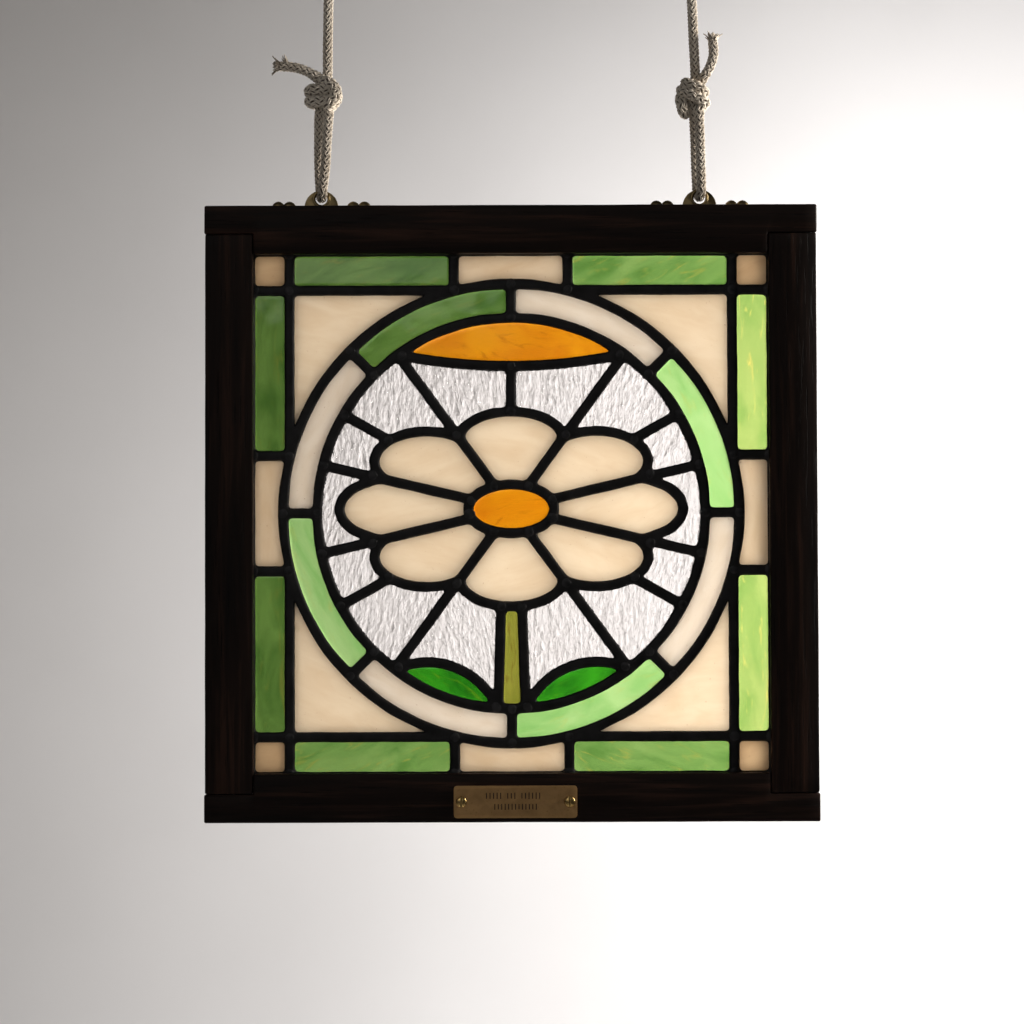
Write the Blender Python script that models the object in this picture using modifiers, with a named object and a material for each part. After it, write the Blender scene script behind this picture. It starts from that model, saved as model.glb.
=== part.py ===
"""Leaded glass panel in a dark wood frame, hung on two knotted cotton ropes.

Metres, +Z up, the front faces -Y. The origin is midway between the two rope loops, where
the hooks bear. Outlines are drawn about the middle of the panel, x to the right, y up.
"""

import math

import bmesh
import bpy
from mathutils import Vector

# Wood frame
FRAME_W = 0.304
FRAME_H = 0.3056
FRAME_D = 0.018
MEMBER_W = 0.024
JOINT_STEP = 0.010
RAIL_PROUD = 0.0004
EDGE_ROUND = 0.0008
GROOVE_DEPTH = 0.0045
FIT = 0.0003

# Lead cames and glass
CAME_W = 0.0051
CAME_HEART = 0.0012
CAME_LEAF = 0.0012
GLASS_T = 0.003
CAME_SHOWS = 0.0006
BAND_W = 0.01965
BLOCK_SHOULDER = 0.0013
RING_LAP = 0.0033
RING_BAND = 0.0170
RING_PIECES = 8
ARC_STEP = math.radians(9)

# Flower, caps and leaves inside the ring
PETALS = 8
FLOWER_RISE = 0.002
FLOWER_GAP = 0.0108
FLOWER_TILT = 0.56
EYE_SHARE = 0.25
NOTCH_SHARE = 0.80
PETAL_STEPS = 8
CAP_DEPTH = 0.0241
STEM_STOP = 0.14
STEM_FOOT = 0.0068
LEAF_RISE = 0.0115

# Brass hangers and name plate
HANGER_T = 0.0016
HANGER_INSET = 0.05675
LUG_R = 0.0085
LUG_RISE = 0.00175
LUG_HOLE_R = 0.0031
LUG_HOLE_RISE = 0.00605
BEAD_R = 0.0029
BEAD_PLACES = (0.0161, 0.0217)
BEAD_RISE = 0.0019
BEAD_STEP = math.radians(25)
HANGER_DROP = 0.019
HANGER_SCREWS = ((-0.010, -0.005), (0.010, -0.005), (0.0, -0.013))
PLATE_W = 0.0608
PLATE_H = 0.0158
PLATE_T = 0.001
PLATE_CORNER = 0.0015
PLATE_RISE = 0.0023
PLATE_SIDE = 0.0016
SCREW_INSET = 0.0037
SCREW_HOLE_R = 0.0011

# Ropes
ROPE_R = 0.00225
HANG_RISE = 0.150
HOOK_LEAN = 0.0048
KNOT_RISE = 0.056
KNOT_SIDE = -0.0018
TOP_KNOT_DROP = 0.031
LOOP_HALF_W = 0.0065
LOOP_START = math.radians(-20)
LOOP_END = math.radians(200)
BEND_STEPS = 8
STRAND_SPREAD = ((1.0, 0.0024), (0.6, 0.0028), (0.3, 0.0034))
TWIST_LEFT = math.radians(75)
TWIST_RIGHT = math.radians(40)
KNOT_LEFT = (0.0096, 0.0072, 0.0074)
KNOT_RIGHT = (0.0084, 0.0072, 0.0108)
TOP_KNOT = (0.0072, 0.0065, 0.0075)
TAIL_LEFT = ((-0.0062, 0.0085), (-0.0128, 0.0122), (-0.0185, 0.0152), (-0.0220, 0.0170))
TAIL_RIGHT = ((0.0052, 0.0095), (0.0080, 0.0190), (0.0100, 0.0270), (0.0096, 0.0320))
TAIL_FORWARD = 0.001

# Places worked out from the sizes above
SIGHT_X = FRAME_W / 2 - MEMBER_W
SIGHT_Y = FRAME_H / 2 - MEMBER_W
LEAD_SINK = CAME_W / 2 - CAME_SHOWS
EDGE_X = SIGHT_X + LEAD_SINK
EDGE_Y = SIGHT_Y + LEAD_SINK
SQUARE_X = EDGE_X - BAND_W
SQUARE_Y = EDGE_Y - BAND_W
RING_OUTER = (SQUARE_X + RING_LAP, SQUARE_Y + RING_LAP)
RING_INNER = (RING_OUTER[0] - RING_BAND, RING_OUTER[1] - RING_BAND)
FLOWER_X = RING_INNER[0] - FLOWER_GAP
FLOWER_Y = (RING_INNER[1] - FLOWER_GAP) * FLOWER_TILT
CHANNEL = GLASS_T + 2 * FIT
CAME_D = CHANNEL + 2 * CAME_LEAF
GLASS_INSET = CAME_HEART / 2 + FIT
PANEL_Y = -(FRAME_D / 2 + FIT + HANGER_T / 2)
PANEL_Z = -(HANG_RISE + FRAME_H / 2)
FRAME_TOP = -HANG_RISE
HANGER_HALF_SPAN = FRAME_W / 2 - HANGER_INSET
HOOK_HALF_SPAN = HANGER_HALF_SPAN - HOOK_LEAN
STRAND_Y = HANGER_T / 2 + FIT + ROPE_R + FIT

COLOURS = {
    "wood": ((0.020, 0.010, 0.008, 1), 0.55, 0.0),
    "lead": ((0.035, 0.035, 0.037, 1), 0.50, 0.7),
    "green_glass": ((0.10, 0.36, 0.16, 1), 0.15, 0.0),
    "leaf_glass": ((0.03, 0.25, 0.04, 1), 0.15, 0.0),
    "cream_glass": ((0.80, 0.68, 0.52, 1), 0.20, 0.0),
    "amber_glass": ((0.90, 0.42, 0.05, 1), 0.15, 0.0),
    "clear_glass": ((0.75, 0.72, 0.74, 1), 0.05, 0.0),
    "brass": ((0.42, 0.32, 0.15, 1), 0.35, 1.0),
    "cotton": ((0.55, 0.49, 0.42, 1), 0.90, 0.0),
}


def make_collection(name):
    made = bpy.data.collections.new(name)
    bpy.context.scene.collection.children.link(made)
    return made


def make_materials():
    """One Principled material for each finish."""
    made = {}
    for name, (colour, roughness, metallic) in COLOURS.items():
        material = bpy.data.materials.new(name)
        material.use_nodes = True
        shader = material.node_tree.nodes["Principled BSDF"]
        shader.inputs["Base Color"].default_value = colour
        shader.inputs["Roughness"].default_value = roughness
        shader.inputs["Metallic"].default_value = metallic
        material.diffuse_color = colour
        made[name] = material
    return made


def own_material(thing, finish):
    """Gives a piece its own copy of a finish."""
    material = MATERIALS[finish].copy()
    material.name = thing.name
    thing.data.materials.append(material)


def arc(radius, start, end, centre=(0.0, 0.0), step=ARC_STEP):
    """Points along a circle from one angle to another, both ends included."""
    steps = max(1, round(abs(end - start) / step))
    angles = [start + (end - start) * i / steps for i in range(steps + 1)]
    return [(centre[0] + radius * math.cos(a), centre[1] + radius * math.sin(a)) for a in angles]


def oval(half_axes, start, end):
    """Points along an upright oval about the middle, both ends included."""
    across, up = half_axes
    return [(across * x, up * y) for x, y in arc(1.0, start, end)]


def hole(radius, centre, sides):
    """A round hole's outline with a few sides."""
    turns = [2 * math.pi * i / sides for i in range(sides)]
    return [(centre[0] + radius * math.cos(t), centre[1] + radius * math.sin(t)) for t in turns]


def bow(first, last, rise, steps):
    """A circular arc from first to last that stands rise out to the left of that line."""
    first, last = Vector(first), Vector(last)
    chord = last - first
    half = chord.length / 2
    radius = (half * half + rise * rise) / (2 * rise)
    sweep = math.asin(half / radius)
    along = chord.normalized()
    across = Vector((-along.y, along.x))
    middle = (first + last) / 2
    made = []
    for i in range(steps + 1):
        angle = sweep * (2 * i / steps - 1)
        out = radius * (math.cos(angle) - math.cos(sweep))
        made.append(tuple(middle + along * radius * math.sin(angle) + across * out))
    return made


def counter_clockwise(points):
    """The outline turned so that its inside is on the left."""
    area = 0.0
    for i, (x, y) in enumerate(points):
        before = points[i - 1]
        area += before[0] * y - x * before[1]
    return list(points) if area > 0 else list(reversed(points))


def crossing(first, second):
    """Where two lines, each a point and a direction, meet."""
    (a, along), (b, other) = first, second
    turn = along.x * other.y - along.y * other.x
    if abs(turn) < 1e-6:
        return b
    gap = b - a
    return a + along * ((gap.x * other.y - gap.y * other.x) / turn)


def inset(outline, distance):
    """The outline moved inwards, with the edges that vanish left out."""
    points = [Vector(p) for p in counter_clockwise(outline)]
    lines = []
    for i, point in enumerate(points):
        edge = points[(i + 1) % len(points)] - point
        if edge.length < 1e-7:
            continue
        along = edge.normalized()
        lines.append((point + Vector((-along.y, along.x)) * distance, along))
    while True:
        corners = [crossing(lines[i - 1], line) for i, line in enumerate(lines)]
        lengths = []
        for i, line in enumerate(lines):
            edge = corners[(i + 1) % len(corners)] - corners[i]
            lengths.append(edge.dot(line[1]))
        shortest = min(range(len(lengths)), key=lengths.__getitem__)
        if lengths[shortest] > 0:
            return [tuple(c) for c in corners]
        del lines[shortest]


def quarter_turn(points, turns):
    """The outline turned by quarter turns clockwise about the middle."""
    for _ in range(turns):
        points = [(y, -x) for x, y in points]
    return points


def border_regions():
    """Corner squares, strips and blocks of the border, as outlines on the came lines."""
    made = {}
    sides = ("top", "right", "bottom", "left")
    ends = (("left", "right"), ("top", "bottom"), ("right", "left"), ("bottom", "top"))
    for turns, side in enumerate(sides):
        upright = turns % 2
        along = SQUARE_Y if upright else SQUARE_X
        inner = SQUARE_X if upright else SQUARE_Y
        outer = EDGE_X if upright else EDGE_Y
        ring = RING_OUTER[::-1] if upright else RING_OUTER
        bulge = math.acos(inner / ring[1])
        end = ring[0] * math.sin(bulge) + BLOCK_SHOULDER
        strip = [(-along, inner), (-end, inner), (-end, outer), (-along, outer)]
        mirrored = [(-x, y) for x, y in strip]
        block = [(-end, inner)]
        block += oval(ring, math.pi / 2 + bulge, math.pi / 2 - bulge)
        block += [(end, inner), (end, outer), (-end, outer)]
        first, second = ends[turns]
        made[f"border_strip_{side}_{first}"] = ("green_glass", quarter_turn(strip, turns))
        made[f"border_strip_{side}_{second}"] = ("green_glass", quarter_turn(mirrored, turns))
        made[f"border_block_{side}"] = ("cream_glass", quarter_turn(block, turns))
    for across, x in (("left", -1), ("right", 1)):
        for up, y in (("top", 1), ("bottom", -1)):
            square = [
                (x * SQUARE_X, y * SQUARE_Y),
                (x * EDGE_X, y * SQUARE_Y),
                (x * EDGE_X, y * EDGE_Y),
                (x * SQUARE_X, y * EDGE_Y),
            ]
            made[f"corner_square_{up}_{across}"] = ("cream_glass", square)
            low = math.acos(SQUARE_X / RING_OUTER[0])
            high = math.asin(SQUARE_Y / RING_OUTER[1])
            spandrel = [(SQUARE_X, SQUARE_Y)] + oval(RING_OUTER, high, low)
            spandrel = [(x * px, y * py) for px, py in spandrel]
            made[f"spandrel_{up}_{across}"] = ("cream_glass", spandrel)
    return made


def ring_regions():
    """The band round the picture, green and cream in turn."""
    made = {}
    width = 2 * math.pi / RING_PIECES
    for i in range(RING_PIECES):
        outer = oval(RING_OUTER, i * width, (i + 1) * width)
        inner = oval(RING_INNER, (i + 1) * width, i * width)
        finish = "cream_glass" if i % 2 else "green_glass"
        made[f"ring_piece_{i + 1}"] = (finish, outer + inner)
    return made


def flower_point(share, angle):
    """A point of the flower's tilted disc, share of its reach out at an angle."""
    return (
        FLOWER_X * share * math.cos(angle),
        FLOWER_RISE + FLOWER_Y * share * math.sin(angle),
    )


def bearing(point, after):
    """A point's angle along the ring's inner oval, counted on from the angle after."""
    angle = math.atan2(point[1] / RING_INNER[1], point[0] / RING_INNER[0])
    return after + (angle - after) % (2 * math.pi)


def ring_hit(angle):
    """Where a lead line that runs out from the flower meets the ring."""
    dx = FLOWER_X * math.cos(angle) / RING_INNER[0]
    dy = FLOWER_Y * math.sin(angle) / RING_INNER[1]
    rise = FLOWER_RISE / RING_INNER[1]
    size = dx * dx + dy * dy
    lean = rise * dy
    reach = (-lean + math.sqrt(lean * lean + size * (1 - rise * rise))) / size
    return (RING_INNER[0] * dx * reach, RING_INNER[1] * (rise + dy * reach))


def petal_tip(angle, stops):
    """The round end of the petal at an angle, at stops from -1, one notch, to 1, the next."""
    half = math.pi / PETALS
    notch_x = NOTCH_SHARE * math.cos(half)
    notch_y = NOTCH_SHARE * math.sin(half)
    centre = (1 - notch_x * notch_x - notch_y * notch_y) / (2 - 2 * notch_x)
    radius = 1 - centre
    sweep = math.atan2(notch_y, notch_x - centre)
    made = []
    for stop in stops:
        x = centre + radius * math.cos(sweep * stop)
        y = radius * math.sin(sweep * stop)
        made.append(flower_point(math.hypot(x, y), angle + math.atan2(y, x)))
    return made


def even_stops(steps):
    return [2 * i / steps - 1 for i in range(steps + 1)]


def picture_regions():
    """Flower, cap, stem, leaves and clear panes. Windows are what shows between the leads."""
    glass, windows = {}, {}
    turn = 2 * math.pi / PETALS
    top, bottom = PETALS // 4, 3 * PETALS // 4
    eye_steps = 3
    stem_stops = sorted(even_stops(PETAL_STEPS) + [-STEM_STOP, STEM_STOP])
    cap_right, cap_left = ring_hit((top - 0.5) * turn), ring_hit((top + 0.5) * turn)
    cap_rise = cap_right[1] - (RING_INNER[1] - CAP_DEPTH)
    cap_low = bow(cap_right, cap_left, cap_rise, 2 * PETAL_STEPS)
    eye = []
    for i in range(PETALS):
        angle = i * turn
        inner = []
        for step in range(eye_steps + 1):
            inner.append(flower_point(EYE_SHARE, angle + turn * (step / eye_steps - 0.5)))
        eye += inner[:-1]
        tip = petal_tip(angle, stem_stops if i == bottom else even_stops(PETAL_STEPS))
        glass[f"petal_{i + 1}"] = ("cream_glass", tip + inner[::-1])
        if i == bottom:
            continue
        first, last = ring_hit(angle - turn / 2), ring_hit(angle + turn / 2)
        start = bearing(first, 0)
        outer = cap_low if i == top else oval(RING_INNER, start, bearing(last, start))
        name = f"clear_pane_{i + 1}"
        glass[name] = ("clear_glass", outer + tip[::-1])
        if i % (PETALS // 2) == 0:
            continue
        if i == top:
            near, far = cap_low[: PETAL_STEPS + 1], cap_low[PETAL_STEPS:]
        else:
            aim = bearing(ring_hit(angle), start)
            near = oval(RING_INNER, start, aim)
            far = oval(RING_INNER, aim, bearing(last, start))
        middle = PETAL_STEPS // 2
        windows[name] = [near + tip[middle::-1], far + tip[: middle - 1 : -1]]
    glass["flower_eye"] = ("amber_glass", eye)
    cap_high = oval(RING_INNER, bearing(cap_right, 0), bearing(cap_left, 0))
    glass["amber_cap"] = ("amber_glass", cap_high + cap_low[::-1])

    tip = petal_tip(bottom * turn, stem_stops)
    low, high = stem_stops.index(-STEM_STOP), stem_stops.index(STEM_STOP)
    foot = math.asin(STEM_FOOT / RING_INNER[0])
    down = 3 * math.pi / 2
    stem_low = oval(RING_INNER, down - foot, down + foot)
    glass["flower_stem"] = ("leaf_glass", stem_low + tip[low : high + 1][::-1])
    corner = ring_hit((bottom + 0.5) * turn)
    rim = oval(RING_INNER, down + foot, bearing(corner, down))
    blade = bow(rim[0], rim[-1], LEAF_RISE, PETAL_STEPS)
    leaf = rim + blade[::-1]
    pane = blade + tip[high:][::-1]
    for side, sign in (("right", 1), ("left", -1)):
        glass[f"leaf_{side}"] = ("leaf_glass", [(sign * x, y) for x, y in leaf])
        name = f"clear_pane_{bottom + 1}_{side}"
        glass[name] = ("clear_glass", [(sign * x, y) for x, y in pane])
    return glass, windows


def slab(name, outlines, front, back, collection):
    """A flat curve with its outlines standing in the panel's plane, from front to back."""
    curve = bpy.data.curves.new(name, "CURVE")
    curve.dimensions = "2D"
    curve.fill_mode = "BOTH"
    curve.extrude = (back - front) / 2
    for outline in outlines:
        spline = curve.splines.new("POLY")
        spline.points.add(len(outline) - 1)
        for point, (x, y) in zip(spline.points, outline):
            point.co = (x, y, 0, 1)
        spline.use_cyclic_u = True
    thing = bpy.data.objects.new(name, curve)
    thing.location = (0, PANEL_Y + (front + back) / 2, PANEL_Z)
    thing.rotation_euler = (math.pi / 2, 0, 0)
    collection.objects.link(thing)
    return thing


def prisms(name, outlines, front, back, collection):
    """One upright prism for each outline in the panel's plane, from front to back."""
    mesh = bpy.data.meshes.new(name)
    shape = bmesh.new()
    for outline in outlines:
        corners = [shape.verts.new((x, PANEL_Y + front, PANEL_Z + y)) for x, y in outline]
        face = shape.faces.new(corners)
        raised = bmesh.ops.extrude_face_region(shape, geom=[face])["geom"]
        moved = [v for v in raised if isinstance(v, bmesh.types.BMVert)]
        bmesh.ops.translate(shape, verts=moved, vec=(0, back - front, 0))
    bmesh.ops.recalc_face_normals(shape, faces=shape.faces)
    shape.to_mesh(mesh)
    shape.free()
    made = bpy.data.objects.new(name, mesh)
    collection.objects.link(made)
    return made


def as_mesh(thing):
    """The same object as a welded mesh in the same place."""
    bpy.context.view_layer.update()
    evaluated = thing.evaluated_get(bpy.context.evaluated_depsgraph_get())
    mesh = bpy.data.meshes.new_from_object(evaluated)
    shape = bmesh.new()
    shape.from_mesh(mesh)
    bmesh.ops.remove_doubles(shape, verts=shape.verts, dist=1e-6)
    bmesh.ops.recalc_face_normals(shape, faces=shape.faces)
    shape.to_mesh(mesh)
    shape.free()
    name, collection, place = thing.name, thing.users_collection[0], thing.matrix_world.copy()
    bpy.data.objects.remove(thing)
    made = bpy.data.objects.new(name, mesh)
    made.matrix_world = place
    collection.objects.link(made)
    return made


def cutter(thing):
    thing.hide_render = True
    thing.display_type = "WIRE"
    return thing


def boolean(thing, other, operation):
    modifier = thing.modifiers.new(other.name, "BOOLEAN")
    modifier.object = other
    modifier.operation = operation
    modifier.solver = "EXACT"


def box(name, low, high, collection):
    """A box between two corners."""
    mesh = bpy.data.meshes.new(name)
    shape = bmesh.new()
    bmesh.ops.create_cube(shape, size=1.0)
    for vertex in shape.verts:
        for axis in range(3):
            middle = (low[axis] + high[axis]) / 2
            vertex.co[axis] = middle + vertex.co[axis] * (high[axis] - low[axis])
    shape.to_mesh(mesh)
    shape.free()
    made = bpy.data.objects.new(name, mesh)
    collection.objects.link(made)
    return made


def round_edges(thing, width):
    modifier = thing.modifiers.new("Rounded edges", "BEVEL")
    modifier.width = width
    modifier.segments = 2
    modifier.limit_method = "ANGLE"
    modifier.angle_limit = math.radians(40)


def make_frame():
    """Two rails that run the whole width and two stiles that rise into them."""
    half_w, half_h = FRAME_W / 2, FRAME_H / 2
    shoulder = half_h - MEMBER_W + JOINT_STEP
    depth = FRAME_D / 2
    groove = CAME_D / 2 + FIT
    for name, up in (("frame_rail_top", 1), ("frame_rail_bottom", -1)):
        half = [
            (half_w, half_h),
            (half_w, shoulder),
            (SIGHT_X - FIT, shoulder),
            (SIGHT_X - FIT, SIGHT_Y),
        ]
        outline = half + [(-x, y) for x, y in half[::-1]]
        rail = prisms(name, [[(x, up * y) for x, y in outline]], -depth, depth, PARTS)
        ends = sorted((up * (SIGHT_Y - MEMBER_W), up * (SIGHT_Y + GROOVE_DEPTH)))
        cut = box(
            f"{name}_groove",
            (-FRAME_W, PANEL_Y - groove, PANEL_Z + ends[0]),
            (FRAME_W, PANEL_Y + groove, PANEL_Z + ends[1]),
            CUTTERS,
        )
        round_edges(rail, EDGE_ROUND)
        boolean(rail, cutter(cut), "DIFFERENCE")
        own_material(rail, "wood")
    top = shoulder - FIT
    for name, side in (("frame_stile_left", -1), ("frame_stile_right", 1)):
        outer = half_w - RAIL_PROUD
        inner = side * SIGHT_X
        outline = [(inner, -top), (side * outer, -top), (side * outer, top), (inner, top)]
        stile = prisms(name, [outline], -depth, depth, PARTS)
        ends = sorted((side * (SIGHT_X - MEMBER_W), side * (SIGHT_X + GROOVE_DEPTH)))
        cut = box(
            f"{name}_groove",
            (ends[0], PANEL_Y - groove, PANEL_Z - FRAME_H),
            (ends[1], PANEL_Y + groove, PANEL_Z + FRAME_H),
            CUTTERS,
        )
        round_edges(stile, EDGE_ROUND)
        boolean(stile, cutter(cut), "DIFFERENCE")
        own_material(stile, "wood")


def make_panes(regions):
    for name, (finish, outline) in regions.items():
        pane = slab(name, [inset(outline, GLASS_INSET)], -GLASS_T / 2, GLASS_T / 2, PARTS)
        own_material(pane, finish)


def make_came(regions, windows):
    """The soldered net: open between the leads, and grooved to the heart for each pane."""
    half_w = EDGE_X + CAME_W / 2
    half_h = EDGE_Y + CAME_W / 2
    depth = CAME_D / 2
    openings, grooves = [], []
    for name, (_, outline) in regions.items():
        grooves.append(inset(outline, CAME_HEART / 2))
        for window in windows.get(name, [outline]):
            openings.append(inset(window, CAME_W / 2))
    low = (-half_w, PANEL_Y - depth, PANEL_Z - half_h)
    high = (half_w, PANEL_Y + depth, PANEL_Z + half_h)
    lattice = box("came_lattice", low, high, PARTS)
    through = prisms("came_openings", openings, -CAME_D, CAME_D, CUTTERS)
    grooved = prisms("came_grooves", grooves, -CHANNEL / 2, CHANNEL / 2, CUTTERS)
    boolean(lattice, cutter(through), "DIFFERENCE")
    boolean(lattice, cutter(grooved), "DIFFERENCE")
    own_material(lattice, "lead")


def hanger_outline():
    """Half-round lug, two beads on each side and a body that runs down to a point."""
    touch = math.acos((BEAD_PLACES[1] - BEAD_PLACES[0]) / 2 / BEAD_R)
    shelf = BEAD_RISE / 2
    low = math.asin((shelf - BEAD_RISE) / BEAD_R)
    lug_low = math.asin((shelf - LUG_RISE) / LUG_R)
    near, far = BEAD_PLACES
    half = arc(BEAD_R, -math.pi / 3, math.pi - touch, (far, BEAD_RISE), BEAD_STEP)
    half += arc(BEAD_R, touch, math.pi - low, (near, BEAD_RISE), BEAD_STEP)[1:]
    half += arc(LUG_R, lug_low, math.pi / 2, (0, LUG_RISE))
    left = [(-x, y) for x, y in half[:-1][::-1]]
    end_x, end_y = left[-1]
    sweep = []
    steps = 12
    for i in range(1, steps):
        x = end_x - 2 * end_x * i / steps
        sweep.append((x, end_y - (HANGER_DROP + end_y) * (0.5 + 0.5 * math.cos(math.pi * x / end_x))))
    return half + left + sweep


def make_hangers():
    front = FRAME_D / 2 + FIT
    holes = [hole(LUG_HOLE_R, (0, LUG_HOLE_RISE), 16)]
    holes += [hole(SCREW_HOLE_R, place, 8) for place in HANGER_SCREWS]
    for name, side in (("hanger_left", -1), ("hanger_right", 1)):
        outlines = []
        for outline in [hanger_outline()] + holes:
            outlines.append([(side * HANGER_HALF_SPAN + x, FRAME_H / 2 + y) for x, y in outline])
        own_material(slab(name, outlines, front, front + HANGER_T, PARTS), "brass")


def make_plate():
    """The thin brass plate on the bottom rail, with two screw holes."""
    half_w = PLATE_W / 2 - PLATE_CORNER
    half_h = PLATE_H / 2 - PLATE_CORNER
    outline = []
    corners = ((half_w, half_h), (-half_w, half_h), (-half_w, -half_h), (half_w, -half_h))
    for i, place in enumerate(corners):
        start = i * math.pi / 2
        outline += arc(PLATE_CORNER, start, start + math.pi / 2, place, math.pi / 6)
    outlines = [outline]
    for side in (-1, 1):
        outlines.append(hole(SCREW_HOLE_R, (side * (PLATE_W / 2 - SCREW_INSET), 0), 8))
    middle = -FRAME_H / 2 + PLATE_RISE + PLATE_H / 2
    outlines = [[(x + PLATE_SIDE, y + middle) for x, y in each] for each in outlines]
    front = -FRAME_D / 2 - FIT - PLATE_T
    own_material(slab("name_plate", outlines, front, front + PLATE_T, PARTS), "brass")


def smooth(points, spacing):
    """Points at an even spacing along a smooth curve through the given ones."""
    points = [Vector(p) for p in points]
    padded = [2 * points[0] - points[1]] + points + [2 * points[-1] - points[-2]]
    fine = []
    for i in range(len(points) - 1):
        a, b, c, d = padded[i : i + 4]
        for step in range(20):
            t = step / 20
            bend = 2 * a - 5 * b + 4 * c - d
            twist = 3 * b - a - 3 * c + d
            fine.append(0.5 * (2 * b + (c - a) * t + bend * t**2 + twist * t**3))
    fine.append(points[-1])
    length = sum((q - p).length for p, q in zip(fine, fine[1:]))
    count = max(2, round(length / spacing))
    made, walked, target = [fine[0]], 0.0, length / count
    for p, q in zip(fine, fine[1:]):
        step = (q - p).length
        while step > 0 and walked + step >= target and len(made) < count:
            made.append(p.lerp(q, (target - walked) / step))
            target += length / count
        walked += step
    return made + [fine[-1]]


def tube(name, points, collection):
    curve = bpy.data.curves.new(name, "CURVE")
    curve.dimensions = "3D"
    curve.bevel_depth = ROPE_R
    curve.bevel_resolution = 2
    curve.use_fill_caps = True
    spline = curve.splines.new("POLY")
    spline.points.add(len(points) - 1)
    for point, place in zip(spline.points, points):
        point.co = (*place, 1)
    thing = bpy.data.objects.new(name, curve)
    collection.objects.link(thing)
    return as_mesh(thing)


def knot(name, place, radii, collection):
    """The round mass of a tied knot."""
    mesh = bpy.data.meshes.new(name)
    shape = bmesh.new()
    bmesh.ops.create_uvsphere(shape, u_segments=12, v_segments=8, radius=1.0)
    for vertex in shape.verts:
        for axis in range(3):
            vertex.co[axis] = place[axis] + vertex.co[axis] * radii[axis]
    shape.to_mesh(mesh)
    shape.free()
    made = bpy.data.objects.new(name, mesh)
    collection.objects.link(made)
    return cutter(made)


def make_rope(name, side, twist, radii, tail):
    """Bight through the lug, knot with its tail, standing part, top knot and loop."""
    lug_x = side * HANGER_HALF_SPAN
    hook_x = side * HOOK_HALF_SPAN
    turn_z = FRAME_TOP + LUG_HOLE_RISE + LUG_HOLE_R - FIT - ROPE_R
    knot_z = FRAME_TOP + KNOT_RISE
    rise = knot_z - turn_z
    knot_x = lug_x + (hook_x - lug_x) * rise / -turn_z + KNOT_SIDE
    near, far = [], []
    for share, spread in STRAND_SPREAD:
        middle = lug_x + (knot_x - lug_x) * share
        aside, out = spread * math.sin(twist * share), spread * math.cos(twist * share)
        near.append((middle + aside, -out, turn_z + rise * share))
        far.insert(0, (middle - aside, out, turn_z + rise * share))
    bend = []
    for i in range(BEND_STEPS + 1):
        angle = math.pi + math.pi * i / BEND_STEPS
        bend.append((lug_x, STRAND_Y * math.cos(angle), turn_z + STRAND_Y * (1 + math.sin(angle))))
    rope = tube(name, smooth(near, 5 * ROPE_R)[:-1] + bend + smooth(far, 5 * ROPE_R)[1:], PARTS)
    top_z = -TOP_KNOT_DROP
    top_x = hook_x + (lug_x - hook_x) * top_z / turn_z
    standing = smooth([(knot_x, 0, knot_z), (top_x, 0, top_z)], 6 * ROPE_R)
    loose = [(knot_x, 0, knot_z)]
    loose += [(knot_x + x, -TAIL_FORWARD, knot_z + z) for x, z in tail]
    loop = [(top_x - side * ROPE_R, 0, top_z)]
    for i in range(BEND_STEPS + 1):
        angle = LOOP_START + (LOOP_END - LOOP_START) * i / BEND_STEPS
        loop.append(
            (
                hook_x - side * LOOP_HALF_W * math.cos(angle),
                0,
                ROPE_R - LOOP_HALF_W + LOOP_HALF_W * math.sin(angle),
            )
        )
    loop.append((top_x + side * ROPE_R, 0, top_z))
    joined = [
        knot(f"{name}_knot", (knot_x, 0, knot_z), radii, CUTTERS),
        cutter(tube(f"{name}_standing", standing, CUTTERS)),
        cutter(tube(f"{name}_tail", smooth(loose, 4 * ROPE_R), CUTTERS)),
        knot(f"{name}_top_knot", (top_x, 0, top_z), TOP_KNOT, CUTTERS),
        cutter(tube(f"{name}_loop", smooth(loop, 3 * ROPE_R), CUTTERS)),
    ]
    for piece in joined:
        boolean(rope, piece, "UNION")
    own_material(rope, "cotton")


for old in list(bpy.data.objects):
    bpy.data.objects.remove(old)
PARTS = make_collection("Glass window panel")
CUTTERS = make_collection("Cutters")
MATERIALS = make_materials()
GLASS = {**border_regions(), **ring_regions()}
PICTURE, WINDOWS = picture_regions()
GLASS.update(PICTURE)
make_frame()
make_panes(GLASS)
make_came(GLASS, WINDOWS)
make_hangers()
make_plate()
make_rope("rope_left", -1, TWIST_LEFT, KNOT_LEFT, TAIL_LEFT)
make_rope("rope_right", 1, TWIST_RIGHT, KNOT_RIGHT, TAIL_RIGHT)
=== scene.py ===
# %% [markdown]
# A leaded glass panel hangs from two cotton ropes in a dark wood frame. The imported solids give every
# piece its size and place. This script dresses them: braided rope, grained wood, soft lead with soldered
# joints, streaky and rippled glass, and aged brass. It starts with the frame and the box it fills. The
# noise that dents the pieces gets a seed, because without one it starts from the clock.

# %% Load the frame
import math
import random
from contextlib import contextmanager

import bmesh
import bpy
import numpy as np
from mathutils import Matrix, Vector, noise


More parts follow.
